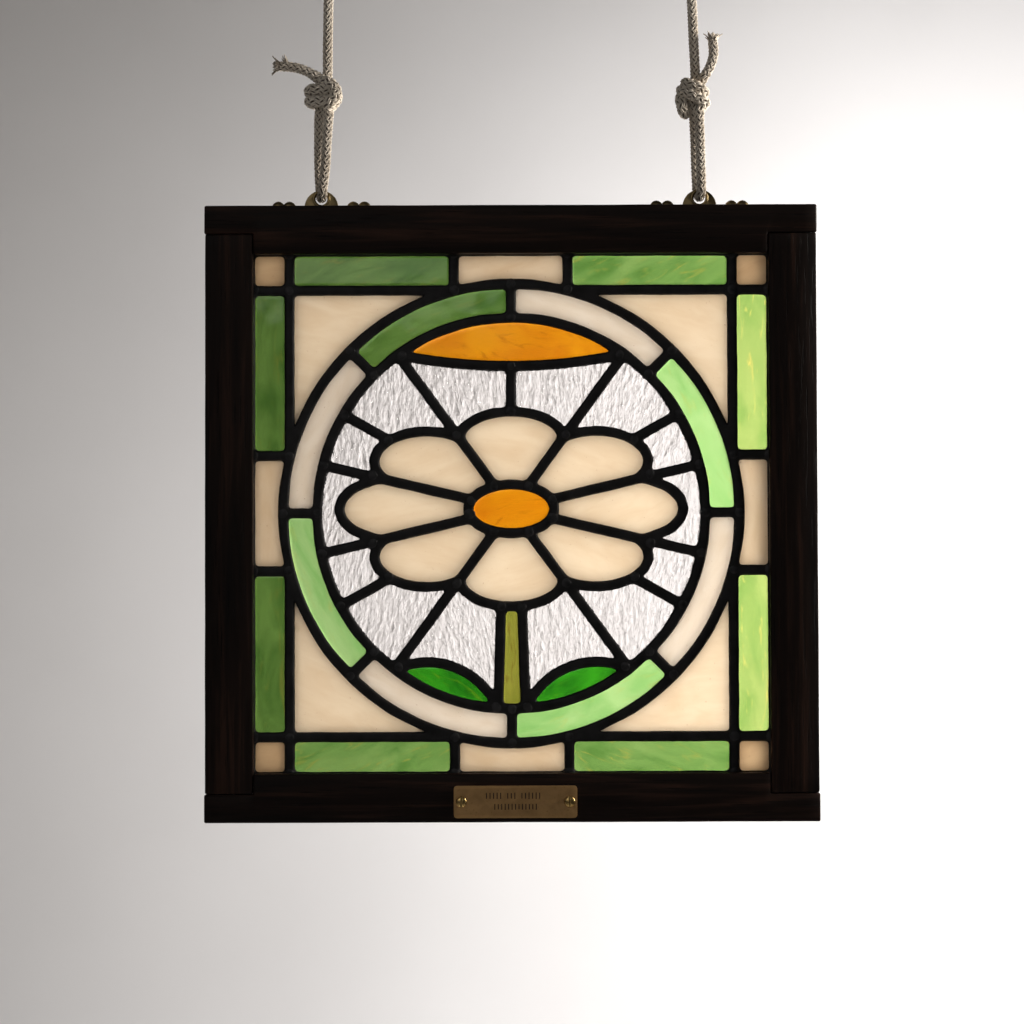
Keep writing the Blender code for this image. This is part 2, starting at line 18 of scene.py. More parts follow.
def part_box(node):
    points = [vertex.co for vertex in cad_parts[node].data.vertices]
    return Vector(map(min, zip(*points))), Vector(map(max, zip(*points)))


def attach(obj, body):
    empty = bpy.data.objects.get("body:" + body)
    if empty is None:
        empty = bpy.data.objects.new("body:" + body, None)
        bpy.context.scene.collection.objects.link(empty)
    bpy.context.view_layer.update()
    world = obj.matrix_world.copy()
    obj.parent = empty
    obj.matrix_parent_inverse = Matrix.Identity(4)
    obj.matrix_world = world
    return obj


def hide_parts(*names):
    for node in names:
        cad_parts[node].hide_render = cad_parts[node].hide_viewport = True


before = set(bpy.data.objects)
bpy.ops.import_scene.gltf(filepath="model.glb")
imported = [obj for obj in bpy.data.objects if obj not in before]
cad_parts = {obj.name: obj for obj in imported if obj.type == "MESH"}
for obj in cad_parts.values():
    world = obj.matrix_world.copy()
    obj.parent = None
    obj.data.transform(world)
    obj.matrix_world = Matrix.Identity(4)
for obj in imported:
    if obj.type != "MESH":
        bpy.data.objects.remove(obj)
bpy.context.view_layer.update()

mm = 0.001
noise.seed_set(7)

# %% [markdown]
# The camera stands a little below the middle of the panel and looks slightly up, as the photographer's
# did. A long lens keeps the frame's sides nearly parallel. It comes before any modelling, because every
# later choice is judged through it. The plain view transform is chosen with it: the usual one greys
# strong colours, and here they are the whole point of the glass.

# %% Camera
panel_low, panel_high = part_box("frame_rail_bottom")[0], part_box("frame_rail_top")[1]
panel_middle = (panel_low + panel_high) / 2
panel_front = panel_low.y

camera_data = bpy.data.cameras.new("Camera")
camera_data.lens = 85
camera_data.sensor_width = 36
camera = bpy.data.objects.new("Camera", camera_data)
bpy.context.scene.collection.objects.link(camera)
camera_distance = 1.195
camera_drop = 0.034
look_up = math.radians(1.64)
tilt = math.radians(0.18)
camera.location = (0.2 * mm, panel_front - camera_distance, panel_middle.z - camera_drop)
camera.rotation_euler = (math.pi / 2 + look_up, tilt, 0)
bpy.context.scene.camera = camera
bpy.context.scene.view_settings.view_transform = "Standard"
print("camera at", [round(v, 3) for v in camera.location])

# %% [markdown]
# Every finish below is a small network of shader nodes. Wiring them by hand hides the idea, so one class
# wraps a socket and lets sums be written as sums. Another makes any node from its type, its settings and
# what feeds its sockets.

# %% Shader helpers
class Wire:
    """A node's output that can be added, taken away and multiplied like a number."""

    def __init__(self, finish, socket):
        self.finish = finish
        self.socket = socket

    def math(self, operation, *values):
        return self.finish.node("ShaderNodeMath", {"operation": operation}, dict(enumerate(values)))

    def __add__(self, other):
        return self.math("ADD", self, other)

    def __sub__(self, other):
        return self.math("SUBTRACT", self, other)

    def __rsub__(self, other):
        return self.math("SUBTRACT", other, self)

    def __mul__(self, other):
        return self.math("MULTIPLY", self, other)

    __radd__ = __add__
    __rmul__ = __mul__

    def between(self, low, high):
        """0 below low and 1 above high, with a smooth step in between."""
        settings = {"interpolation_type": "SMOOTHSTEP"}
        return self.finish.node("ShaderNodeMapRange", settings, {0: self, 1: low, 2: high})


class Finish:
    """A material with a Principled shader whose sockets are set by name."""

    def __init__(self, name, **plain):
        self.material = bpy.data.materials.new(name)
        self.material.use_nodes = True
        self.tree = self.material.node_tree
        self.shader = self.tree.nodes["Principled BSDF"]
        self.output = self.tree.nodes["Material Output"]
        for socket, value in plain.items():
            self.shader.inputs[socket.replace("_", " ")].default_value = value

    def node(self, kind, settings=None, sockets=None, out=0):
        made = self.tree.nodes.new(kind)
        for key, value in (settings or {}).items():
            if key == "stops":
                ramp = made.color_ramp.elements
                while len(ramp) < len(value):
                    ramp.new(1.0)
                for stop, (place, colour) in zip(ramp, value):
                    stop.position = place
                    stop.color = (*colour, 1)
            else:
                setattr(made, key, value)
        for key, value in (sockets or {}).items():
            self.feed(made.inputs[key], value)
        return Wire(self, made.outputs[out])

    def feed(self, socket, value):
        if isinstance(value, Wire):
            self.tree.links.new(value.socket, socket)
        else:
            socket.default_value = value

    def set(self, socket, value):
        self.feed(self.shader.inputs[socket], value)

    def place(self, scale=(1, 1, 1), source="Object"):
        """Coordinates of the surface, stretched by scale."""
        kind = "ShaderNodeUVMap" if source == "UV" else "ShaderNodeTexCoord"
        where = self.node(kind, out=0 if source == "UV" else source)
        return self.node("ShaderNodeMapping", {}, {"Vector": where, "Scale": scale})

    def noise(self, where, scale, detail=4.0, distortion=0.0):
        sockets = {"Vector": where, "Scale": scale, "Detail": detail, "Distortion": distortion}
        return self.node("ShaderNodeTexNoise", {}, sockets)

    def ramp(self, value, *stops):
        return self.node("ShaderNodeValToRGB", {"stops": stops}, {0: value})

    def mix(self, amount, first, second):
        first, second = (c if isinstance(c, Wire) else (*c, 1) for c in (first, second))
        return self.node("ShaderNodeMix", {"data_type": "RGBA"}, {0: amount, 6: first, 7: second}, out=2)

    def bump(self, height, strength, distance):
        sockets = {"Strength": strength, "Distance": distance, "Height": height}
        self.set("Normal", self.node("ShaderNodeBump", {}, sockets))


finishes = {}

# %% [markdown]
# A few habits repeat all through the making. A piece is deselected, selected and edited alone, a finished
# piece gets its material and rides on the body, and it may take the place of one or more solids.

# %% Modelling helpers
@contextmanager
def editing(piece):
    """Edit mode on one piece alone, with everything in it selected."""
    bpy.ops.object.select_all(action="DESELECT")
    piece.select_set(True)
    bpy.context.view_layer.objects.active = piece
    bpy.ops.object.mode_set(mode="EDIT")
    bpy.ops.mesh.select_all(action="SELECT")
    yield piece
    bpy.ops.object.mode_set(mode="OBJECT")


def alone(*pieces):
    """Selects only these pieces, the first one active."""
    bpy.ops.object.select_all(action="DESELECT")
    for piece in pieces:
        piece.select_set(True)
    bpy.context.view_layer.objects.active = pieces[0]


def mesh_piece(name, verts, faces):
    mesh = bpy.data.meshes.new(name)
    mesh.from_pydata([tuple(v) for v in verts], [], faces)
    piece = bpy.data.objects.new(name, mesh)
    bpy.context.scene.collection.objects.link(piece)
    return piece


def copy_of(node, name):
    """A solid's mesh as a new piece, with its loose triangles merged into whole faces."""
    piece = bpy.data.objects.new(name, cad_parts[node].data.copy())
    piece.data.materials.clear()
    bpy.context.scene.collection.objects.link(piece)
    with editing(piece):
        bpy.ops.mesh.remove_doubles(threshold=0.00001)
        bpy.ops.mesh.dissolve_limited(angle_limit=math.radians(0.5))
    return piece


def modify(piece, kind, **settings):
    """Adds a modifier and applies it at once."""
    modifier = piece.modifiers.new(kind.title(), kind)
    for key, value in settings.items():
        setattr(modifier, key, value)
    alone(piece)
    bpy.ops.object.modifier_apply(modifier=modifier.name)
    return piece


def joined(name, pieces):
    """Several pieces as one mesh at the origin."""
    alone(*pieces)
    if len(pieces) > 1:
        bpy.ops.object.join()
    made = bpy.context.view_layer.objects.active
    made.name = made.data.name = name
    bpy.ops.object.transform_apply(location=True, rotation=True, scale=True)
    return made


def finished(piece, finish, replaces=(), smooth=40):
    """Shades a piece, gives it its finish and hangs it on the body."""
    alone(piece)
    bpy.ops.object.shade_smooth_by_angle(angle=math.radians(smooth))
    if finish:
        piece.data.materials.clear()
        piece.data.materials.append(finishes[finish].material)
    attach(piece, "root")
    if replaces:
        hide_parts(*replaces)
    return piece


# %% [markdown]
# The ropes come next, because their length decides how far the model reaches above the view. Each is a
# braided cotton cord: it goes through the hole of a hanger, rises doubled to a knot, and runs on as one
# part to a second knot with a loop for the hook. The route repeats the one of the solids, and the bight
# is turned a little so that both strands show.

# %% Rope route
rope_radius = 2.25 * mm
fit = 0.3 * mm
lug_hole_radius = 3.1 * mm
lug_hole_rise = 6.05 * mm
hook_lean = 4.8 * mm
knot_rise = 56 * mm
knot_side = -1.8 * mm
top_knot_drop = 31 * mm
loop_half_width = 6.5 * mm
strand_spread = ((1.0, 2.4 * mm), (0.6, 2.8 * mm), (0.3, 3.4 * mm))
hanger_thickness = 1.6 * mm
bight_turn = math.radians(12)
strand_y = hanger_thickness / 2 + fit + rope_radius + fit
frame_top = panel_high.z
turn_z = frame_top + lug_hole_rise + lug_hole_radius - fit - rope_radius
knot_z = frame_top + knot_rise


def smooth(points, spacing):
    """Points at an even spacing along a smooth curve through the given ones."""
    points = [Vector(p) for p in points]
    padded = [2 * points[0] - points[1]] + points + [2 * points[-1] - points[-2]]
    fine = []
    for i in range(len(points) - 1):
        a, b, c, d = padded[i : i + 4]
        for step in range(24):
            t = step / 24
            bend = 2 * a - 5 * b + 4 * c - d
            twist = 3 * b - a - 3 * c + d
            fine.append(0.5 * (2 * b + (c - a) * t + bend * t**2 + twist * t**3))
    fine = np.array(fine + [points[-1]], float)
    walked = np.concatenate([[0], np.cumsum(np.linalg.norm(np.diff(fine, axis=0), axis=1))])
    even = np.linspace(0, walked[-1], max(3, round(walked[-1] / spacing)) + 1)
    return np.stack([np.interp(even, walked, fine[:, i]) for i in range(3)], 1)


def strand(lug_x, knot_x, twist, front):
    """Half of the doubled part: from the bottom of the bight, up one side of the lug, to the knot."""
    made = []
    for i in range(5):
        angle = -math.pi / 2 + math.pi / 2 * i / 4
        reach = front * strand_y * math.cos(angle)
        made.append((lug_x + reach * math.sin(bight_turn), -reach * math.cos(bight_turn),
                     turn_z + strand_y * (1 + math.sin(angle))))
    for share, spread in strand_spread[::-1]:
        middle = lug_x + (knot_x - lug_x) * share
        turn = bight_turn + (twist - bight_turn) * share
        aside, out = spread * math.sin(turn), spread * math.cos(turn)
        height = turn_z + (knot_z - turn_z) * share - (knot_drop if share == 1 else 0)
        made.append((middle + front * aside, -front * out, height))
    return made


knot_drop = 7 * mm
print("the ropes turn at", round(turn_z, 4), "and the knots are at", round(knot_z, 4))

# %% [markdown]
# A braid is two sets of yarns that wind opposite ways and pass over and under each other. Seen along the
# rope, one set rides high where the other rides low, so a cosine of the distance gives both. Real yarn
# tubes catch the light from behind as a picture of a braid never would. How high each point rides is
# kept with the mesh, because the finish paints shade, with a little dust, on what lies deep.

# %% Braided rope
yarns_each_way = 6
lay_length = 21 * mm
yarn_radius = 1.84 * mm
yarn_lift = 0.34 * mm
yarn_thick = 0.48 * mm
yarn_wide = 0.33 * mm
yarn_sides = 5
core_radius = 1.4 * mm
loose_thick = 0.56 * mm
loose_wide = 0.64 * mm
pair_turn = 0.175
path_step = 0.64 * mm


def directions(points):
    """Along, aside and up at each point of a path, turned as little as can be from one to the next."""
    along = np.gradient(points, axis=0)
    along /= np.linalg.norm(along, axis=1)[:, None]
    start = np.array([1.0, 0.0, 0.0]) if abs(along[0][0]) < 0.8 else np.array([0.0, 1.0, 0.0])
    aside = [start - along[0] * (start @ along[0])]
    for direction in along[1:]:
        aside.append(aside[-1] - direction * (aside[-1] @ direction))
    aside = np.array([a / np.linalg.norm(a) for a in aside])
    return along, aside, np.cross(along, aside)


def tube(path, outward, thick, wide, sides, parts, taper=None, height=None):
    """One yarn of oval section along a path. outward is the way its flat side faces."""
    verts, faces, coords = parts
    along = np.gradient(path, axis=0)
    along /= np.linalg.norm(along, axis=1)[:, None]
    across = np.cross(along, outward)
    across /= np.linalg.norm(across, axis=1)[:, None]
    size = np.ones(len(path)) if taper is None else taper
    height = np.ones(len(path)) if height is None else height
    base = len(verts)
    walked = np.concatenate([[0], np.cumsum(np.linalg.norm(np.diff(path, axis=0), axis=1))])
    for i, point in enumerate(path):
        for k in range(sides):
            turn = 2 * math.pi * k / sides
            reach = outward[i] * (thick * math.cos(turn)) + across[i] * (wide * math.sin(turn))
            verts.append(point + reach * size[i])
            coords.append((walked[i], k / sides, height[i] * (0.5 + 0.5 * math.cos(turn))))
    for i in range(len(path) - 1):
        for k in range(sides):
            a, b = base + i * sides + k, base + i * sides + (k + 1) % sides
            faces.append((a, b, b + sides, a + sides))
    faces.append(tuple(base + k for k in range(sides))[::-1])
    faces.append(tuple(base + (len(path) - 1) * sides + k for k in range(sides)))


def braid(path, parts, start_turn=0.0, swell=None):
    """Adds a core and its braided pairs of yarns along a path to the lists in parts."""
    _, aside, up = directions(path)
    walked = np.concatenate([[0], np.cumsum(np.linalg.norm(np.diff(path, axis=0), axis=1))])
    size = np.ones(len(path)) if swell is None else swell
    # The heights kept here feed the cotton's painted shade: the core lies deepest, each yarn by how high it
    # rides.
    tube(path, aside, core_radius, core_radius, 8, parts, size, np.zeros(len(path)))
    for way in (1, -1):
        ride = way * np.cos(2 * math.pi * yarns_each_way * walked / lay_length)
        lift = yarn_radius + yarn_lift * ride
        for k in range(yarns_each_way):
            for beside in (-pair_turn, pair_turn):
                turn = way * 2 * math.pi * walked / lay_length + start_turn + beside
                turn = turn + 2 * math.pi * k / yarns_each_way
                outward = aside * np.cos(turn)[:, None] + up * np.sin(turn)[:, None]
                tube(path + outward * (lift * size)[:, None], outward, yarn_thick, yarn_wide,
                     yarn_sides, parts, size, 0.55 + 0.45 * ride)


def fray(tip, direction, parts, yarns, reach, spread, seed):
    """Loose yarn ends that splay from a cut rope."""
    dice = random.Random(seed)
    direction = Vector(direction).normalized()
    side = direction.orthogonal().normalized()
    other = direction.cross(side)
    for i in range(yarns):
        turn = 2 * math.pi * i / yarns + dice.uniform(-0.4, 0.4)
        out = side * math.cos(turn) + other * math.sin(turn)
        start = tip + out * dice.uniform(0.3, 1.6) * mm - direction * 1.5 * mm
        lean = dice.uniform(0.1, 1.0) * spread
        length = reach * dice.uniform(0.55, 1.15)
        path = []
        for step in range(7):
            t = step / 6
            curl = side * math.sin(4 * t + i) * 0.25 * mm
            path.append(start + direction * length * t + out * lean * length * t * t + curl * t)
        path = np.array([tuple(p) for p in path])
        _, aside, _ = directions(path)
        taper = np.linspace(1.0, 0.45, len(path))
        tube(path, aside, loose_thick, loose_wide, yarn_sides, parts, taper)


def rope_piece(name, parts):
    """The gathered yarns as one mesh, with its length and turn kept for the twist of the fibres."""
    verts, faces, coords = parts
    piece = mesh_piece(name, verts, faces)
    layer = piece.data.uv_layers.new(name="UVMap")
    corners = np.zeros(len(piece.data.loops), int)
    piece.data.loops.foreach_get("vertex_index", corners)
    coords = np.array(coords, float)
    layer.data.foreach_set("uv", coords[corners, :2].ravel())
    piece.data.attributes.new("Height", "FLOAT", "POINT").data.foreach_set("value", coords[:, 2])
    with editing(piece):
        bpy.ops.mesh.normals_make_consistent(inside=False)
    print(name, len(faces), "faces")
    return piece


# %% [markdown]
# Cotton is matt and slightly uneven, with a fine twist in each yarn. A sheen softens its edges. Deep
# between the yarns the kept height mixes in a dark brown: painted shade, with a little dust.

# %% Cotton finish
cotton = Finish("Cotton", Roughness=0.92, Sheen_Weight=0.35, Sheen_Roughness=0.5, Specular_IOR_Level=0.2)
where = cotton.place((1, 1, 1))
patches = cotton.noise(where, 60, 3)
fibre = cotton.noise(cotton.place((900, 1.6, 1), "UV"), 1.0, 2, 0.4)
tone = cotton.ramp(patches, (0.30, (0.62, 0.54, 0.44)), (0.70, (0.84, 0.77, 0.67)))
tone = cotton.mix(fibre.between(0.35, 0.7) * 0.25, tone, (0.50, 0.41, 0.31))
# Painted shade, with a little dust: the lower a point lies in the braid, the more dark brown is mixed in.
height = cotton.node("ShaderNodeAttribute", {"attribute_name": "Height"}, out="Fac")
tone = cotton.mix(height.between(0.62, 0.12) * 0.9, tone, (0.09, 0.065, 0.045))
cotton.set("Base Color", tone)
cotton.bump(fibre, 0.5, 0.0002)
finishes["cotton"] = cotton

# %% [markdown]
# The front strand doesn't stop at the knot: it winds round the rope there and its end sticks out, frayed.
# So the strand, the turns of the knot and the tail are one path, whose turns are laid point by point:
# across, in depth and up from the knot's middle. The rope swells a little in the knot, where it is slack.
# The rope that carries the load is another path, from the lug to the loop.

# %% Two ropes with their knots
ropes = {
    "left": {
        "side": -1,
        "twist": math.radians(75),
        "turns": (
            (0.5, 2.5, -5.4), (-4.5, 2.5, -4.2), (-7.0, -0.4, -3.7), (-4.0, -4.0, -4.2), (1.5, -3.4, -3.8),
            (5.5, -0.5, -2.0), (6.0, 3.2, 0.0), (1.0, 5.0, 1.0), (-5.0, 3.5, 1.5), (-7.1, -0.4, 1.6),
            (-4.0, -3.9, 2.0), (1.5, -3.2, 1.4), (5.6, -0.2, 0.4), (6.2, 3.0, -1.5), (4.0, 3.4, -4.6),
            (2.6, -0.6, -6.6), (2.6, -4.6, -5.2), (5.4, -5.2, -2.8), (6.6, -4.8, 0.8), (4.2, -4.8, 4.2),
            (1.4, -3.4, 6.0), (-1.0, -0.6, 7.2),
        ),
        "tail": ((-3.4, 12.6), (-7.6, 14.9), (-13.4, 16.7), (-20.4, 17.3)),
        "shift": (1.3 * mm, 3.0 * mm),
        "foot": 1.4 * mm,
        "lean": 3.1 * mm,
        "swell": 1.22,
        "whisker": (3.0, 6.0, -0.4),
    },
    "right": {
        "side": 1,
        "twist": math.radians(28),
        "turns": (
            (3.8, 0.5, -5.0), (5.0, 3.2, -2.0), (0.5, 5.2, 0.5), (-4.6, 3.0, 1.8), (-6.0, -1.0, 0.2),
            (-5.6, -3.0, -3.4), (-4.4, -1.6, -7.2), (-2.6, 2.2, -6.0), (1.5, 4.8, -3.0), (5.6, 2.6, -1.6),
            (6.0, -2.2, -2.0), (2.4, -5.0, 0.2), (-2.6, -4.6, 2.4), (-5.4, -1.0, 4.2), (-4.0, 3.2, 5.4),
            (1.0, 5.0, 5.0), (5.2, 2.4, 3.6), (5.5, -2.0, 3.6), (2.4, -4.8, 5.4), (-2.0, -4.0, 7.0),
            (-3.4, -0.2, 8.2), (-0.8, 3.0, 8.4), (3.6, 1.6, 8.6),
        ),
        "tail": ((6.2, 11.5), (9.0, 16.2), (10.9, 22.4), (10.6, 29.8)),
        "shift": (0.2 * mm, 0),
        "foot": 2.2 * mm,
        "lean": 1.8 * mm,
        "swell": 1.16,
        "whisker": (1.2, 4.0, 0.7),
    },
}
loop_steps = 12
tail_depth = -1 * mm
cords = {}


def top_knot_path(top_x, top_z):
    """Two turns round the rope where its end makes the loop, out of the camera's view."""
    wraps = [(top_x + 1 * mm, 0, top_z - 3.5 * mm)]
    for i in range(25):
        angle = math.radians(30 * i)
        wraps.append((top_x + 4.6 * mm * math.cos(angle), 4.3 * mm * math.sin(angle),
                      top_z - 3.2 * mm + 6.4 * mm * i / 24))
    wraps.append((top_x + 1 * mm, 0.5 * mm, top_z + 4.5 * mm))
    return smooth(wraps, path_step)


def carrying_path(rope, lug_x, hook_x, knot_x, top_x, top_z):
    """From the lug up the back, through the knot, to the loop and back to the upper knot."""
    path = strand(lug_x, knot_x + rope["foot"], rope["twist"], -1)
    low_x, low_z = knot_x + rope["lean"], knot_z + 9 * mm
    path += [(knot_x + 0.35 * rope["lean"], 0.4 * mm, knot_z), (low_x, 0, low_z)]
    for share in (0.35, 0.7, 1.0):
        path.append((low_x + (top_x - low_x) * share, 0, low_z + (top_z - low_z) * share))
    for i in range(loop_steps + 1):
        angle = math.radians(-20 + 220 * i / loop_steps)
        reach = loop_half_width * (1 if 0 < i < loop_steps else 0.9)
        rise = rope_radius - loop_half_width + loop_half_width * math.sin(angle)
        path.append((hook_x + rope["side"] * reach * math.cos(angle), 0, rise))
    path.append((top_x - rope["side"] * 0.6 * rope_radius, 2.4 * mm, top_z + 2 * mm))
    return smooth(path, path_step)


def tying_path(rope, lug_x, knot_x):
    """From the lug up the front, round the knot and out to the tail, with how much it swells."""
    path = strand(lug_x, knot_x + rope["foot"], rope["twist"], 1)
    aside, rise = rope["shift"]
    path += [(knot_x + aside + x * mm, y * mm, knot_z + rise + z * mm) for x, y, z in rope["turns"]]
    path += [(knot_x + x * mm, tail_depth, knot_z + z * mm) for x, z in rope["tail"]]
    path = smooth(path, path_step)
    away = np.linalg.norm(path - np.array([knot_x + aside, 0, knot_z + rise]), axis=1)
    near = np.clip((13 * mm - away) / (5 * mm), 0, 1)
    return path, 1 + (rope["swell"] - 1) * near


for name, rope in ropes.items():
    side = rope["side"]
    hanger_low, hanger_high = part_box(f"hanger_{name}")
    lug_x = (hanger_low.x + hanger_high.x) / 2
    hook_x = lug_x - side * hook_lean
    knot_x = lug_x + (hook_x - lug_x) * (knot_z - turn_z) / -turn_z + knot_side
    top_z = -top_knot_drop
    top_x = hook_x + (lug_x - hook_x) * top_z / turn_z

    carrying = carrying_path(rope, lug_x, hook_x, knot_x, top_x, top_z)
    parts = ([], [], [])
    braid(carrying, parts)
    cords[name] = rope_piece(f"rope_{name}_carrying", parts)

    tying, swell = tying_path(rope, lug_x, knot_x)
    parts = ([], [], [])
    braid(tying, parts, math.radians(11), swell)
    tip, direction = Vector(tying[-1]), tying[-1] - tying[-6]
    fray(tip, direction, parts, 34, 5.0 * mm, 0.85, 7 + side)
    across, reach, whisker_lean = rope["whisker"]
    whisker = tip + Vector((across * mm, 0, 1.2 * mm))
    fray(whisker, Vector((whisker_lean, 0, 1)), parts, 6, reach * mm, 0.12, 3)
    knot = rope_piece(f"rope_{name}_knot_and_tail", parts)

    parts = ([], [], [])
    braid(top_knot_path(top_x, top_z), parts)
    top_knot = rope_piece(f"rope_{name}_top_knot", parts)

    finished(cords[name], "cotton", [f"rope_{name}"])
    finished(knot, "cotton")
    finished(top_knot, "cotton")

# %% [markdown]
# The frame is four sticks of dark stained wood: two rails across and two stiles that rise into them. The
# solids already have the joints and the groove. A copy of each is cut into short lengths, and its
# surface moved by a tenth of a millimetre, so that the light runs along it as along planed wood.

# %% Frame members
members = {
    "frame_rail_top": 0,
    "frame_rail_bottom": 0,
    "frame_stile_left": 2,
    "frame_stile_right": 2,
}
slice_length = 7 * mm
waviness = 0.10 * mm
for node, axis in members.items():
    piece = copy_of(node, f"{node}_wood")
    low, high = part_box(node)
    direction = [0, 0, 0]
    direction[axis] = 1
    cuts = round((high[axis] - low[axis]) / slice_length)
    with editing(piece):
        for i in range(1, cuts):
            place = [0, 0, 0]
            place[axis] = low[axis] + (high[axis] - low[axis]) * i / cuts
            bpy.ops.mesh.select_all(action="SELECT")
            bpy.ops.mesh.bisect(plane_co=place, plane_no=direction)
    for vertex in piece.data.vertices:
        seed = vertex.co * 38 + Vector((0, 0, 7 * axis))
        vertex.co += noise.noise_vector(seed) * waviness
    finished(piece, None, [node], 30)
    print(node, len(piece.data.polygons), "faces")

# %% [markdown]
# The wood is nearly black, with a reddish brown that shows along the grain. Noise that is stretched along
# the stick makes the grain. A rail's runs sideways and a stile's upright, so there are two finishes
# from one function.

# %% Wood finish
def make_wood(name, axis):
    """Dark stained wood with its grain drawn out along one axis."""
    wood = Finish(name, Specular_IOR_Level=0.12)

    def drawn_out(share, size=1.0):
        return wood.place([size * (share if i == axis else 1.0) for i in range(3)])

    grain = wood.noise(drawn_out(0.05), 240, 6, 0.6)
    broad = wood.noise(drawn_out(0.05, 0.25), 120, 3, 1.2)
    pores = wood.noise(drawn_out(0.03), 1500, 2).between(0.60, 0.72)
    tone = wood.ramp(grain * 0.65 + broad * 0.35, (0.36, (0.0033, 0.0017, 0.0012)),
                     (0.52, (0.0105, 0.0050, 0.0034)), (0.66, (0.034, 0.0150, 0.0095)))
    wood.set("Base Color", wood.mix(pores * 0.8, tone, (0.0025, 0.0015, 0.0013)))
    wood.set("Roughness", 0.42 + grain * 0.25 + pores * 0.15)
    wood.bump(grain * 0.6 - pores * 0.9, 0.35, 0.0003)
    return wood


finishes["rail wood"] = make_wood("Rail wood", 0)
finishes["stile wood"] = make_wood("Stile wood", 2)
for node, axis in members.items():
    piece = bpy.data.objects[f"{node}_wood"]
    piece.data.materials.append(finishes["stile wood" if axis else "rail wood"].material)
print("wood on", len(members), "members")

# %% [markdown]
# The lead net is one plate of windows in the solids. Real came is soft: its edges are round, its
# lines waver, and solder fills each corner. The outlines of the windows are read from the solid,
# their corners rounded, and a flat curve with a round bevel gives the soft bars between them.

# %% Windows of the lead net
came_low, came_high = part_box("came_lattice")
came_front, came_back = came_low.y, came_high.y
corner_turn = math.radians(25)


def front_loops():
    """The outlines of the net's front face: the windows, and last the outer edge."""
    source = copy_of("came_lattice", "came_outline")
    shape = bmesh.new()
    shape.from_mesh(source.data)
    flat = [f for f in shape.faces if all(abs(v.co.y - came_front) < 1e-5 for v in f.verts)]
    chosen = set(flat)
    following = {}
    for face in flat:
        for loop in face.loops:
            if not any(f in chosen for f in loop.edge.link_faces if f != face):
                following.setdefault(loop.vert, []).append(loop.link_loop_next.vert)
    loops = []
    while following:
        start = next(iter(following))
        vert, made = start, []
        while vert in following:
            made.append(Vector((vert.co.x, vert.co.z)))
            ends = following[vert]
            following_vert = ends.pop()
            if not ends:
                del following[vert]
            vert = following_vert
        loops.append(made)
    shape.free()
    bpy.data.objects.remove(source)
    return sorted(loops, key=lambda loop: max(p.x for p in loop) - min(p.x for p in loop))


def turn_at(before, point, after):
    """How far an outline turns at a point."""
    return (point - before).angle_signed(after - point, 0)


def run_between(points, spacing):
    """A smooth curve through an open run of points, at about the given spacing."""
    steps = [(q - p).length for p, q in zip(points, points[1:])]
    slopes = []
    for i, point in enumerate(points):
        if i == 0:
            slopes.append((points[1] - point) / steps[0])
        elif i == len(points) - 1:
            slopes.append((point - points[-2]) / steps[-1])
        elif max(steps[i - 1 : i + 1]) > 3 * min(steps[i - 1 : i + 1]):
            k = i - 1 if steps[i - 1] > steps[i] else i
            slopes.append((points[k + 1] - points[k]) / steps[k])
        else:
            before, after = steps[i - 1], steps[i]
            slope = (point - points[i - 1]) / before * after + (points[i + 1] - point) / after * before
            slopes.append(slope / (before + after))
    made = []
    for i, step in enumerate(steps):
        count = max(1, round(step / spacing))
        for k in range(count):
            t = k / count
            made.append(
                points[i] * (2 * t**3 - 3 * t**2 + 1)
                + slopes[i] * step * (t**3 - 2 * t**2 + t)
                + points[i + 1] * (3 * t**2 - 2 * t**3)
                + slopes[i + 1] * step * (t**3 - t**2)
            )
    return made + [points[-1]]


def trimmed(run, cut):
    """The run without its first and last stretch."""
    walked = [0.0]
    for p, q in zip(run, run[1:]):
        walked.append(walked[-1] + (q - p).length)
    cut = min(cut, 0.42 * walked[-1])
    inner = [p for p, w in zip(run, walked) if cut < w < walked[-1] - cut]
    ends = []
    for target in (cut, walked[-1] - cut):
        i = max(k for k in range(len(run) - 1) if walked[k] <= target + 1e-12)
        ends.append(run[i].lerp(run[i + 1], (target - walked[i]) / (walked[i + 1] - walked[i])))
    return [ends[0]] + inner + [ends[1]]


def soft_outline(loop, radius, spacing, wobble, seed):
    """An outline with smooth arcs and round corners that wavers a little, and its sharp corners."""
    count = len(loop)
    corners = [
        i for i in range(count)
        if abs(turn_at(loop[i - 1], loop[i], loop[(i + 1) % count])) > corner_turn
    ]
    if not corners:
        corners = [0]
    made = []
    for k, first in enumerate(corners):
        last = corners[(k + 1) % len(corners)]
        stop = last if last > first else last + count
        run = [loop[i % count] for i in range(first, stop + 1)]
        made.append(trimmed(run_between(run, spacing), radius))
    outline = []
    for k, run in enumerate(made):
        outline += run
        corner, after = loop[corners[(k + 1) % len(corners)]], made[(k + 1) % len(made)][0]
        for step in (1, 2, 3):
            t = step / 4
            outline.append(run[-1] * (1 - t) ** 2 + corner * 2 * t * (1 - t) + after * t * t)
    for point in outline:
        moved = noise.noise_vector(Vector((point.x * 90, point.y * 90, seed * 3.7)))
        fine = noise.noise_vector(Vector((point.x * 420, point.y * 420, seed * 5.1)))
        point += Vector((moved.x, moved.y)) * wobble + Vector((fine.x, fine.y)) * wobble * 0.45
    return outline, [loop[i] for i in corners]


loops = front_loops()
edge_loop = loops.pop()
windows = [soft_outline(loop, 2.1 * mm, 1.3 * mm, 0.16 * mm, i) for i, loop in enumerate(loops)]
print(len(windows), "windows in the net")

# %% [markdown]
# A 2D curve fills the space between outlines by itself. Its bevel rounds both rims, and a negative
# offset keeps the bars at their true width. Converted to a mesh, it is the whole net.

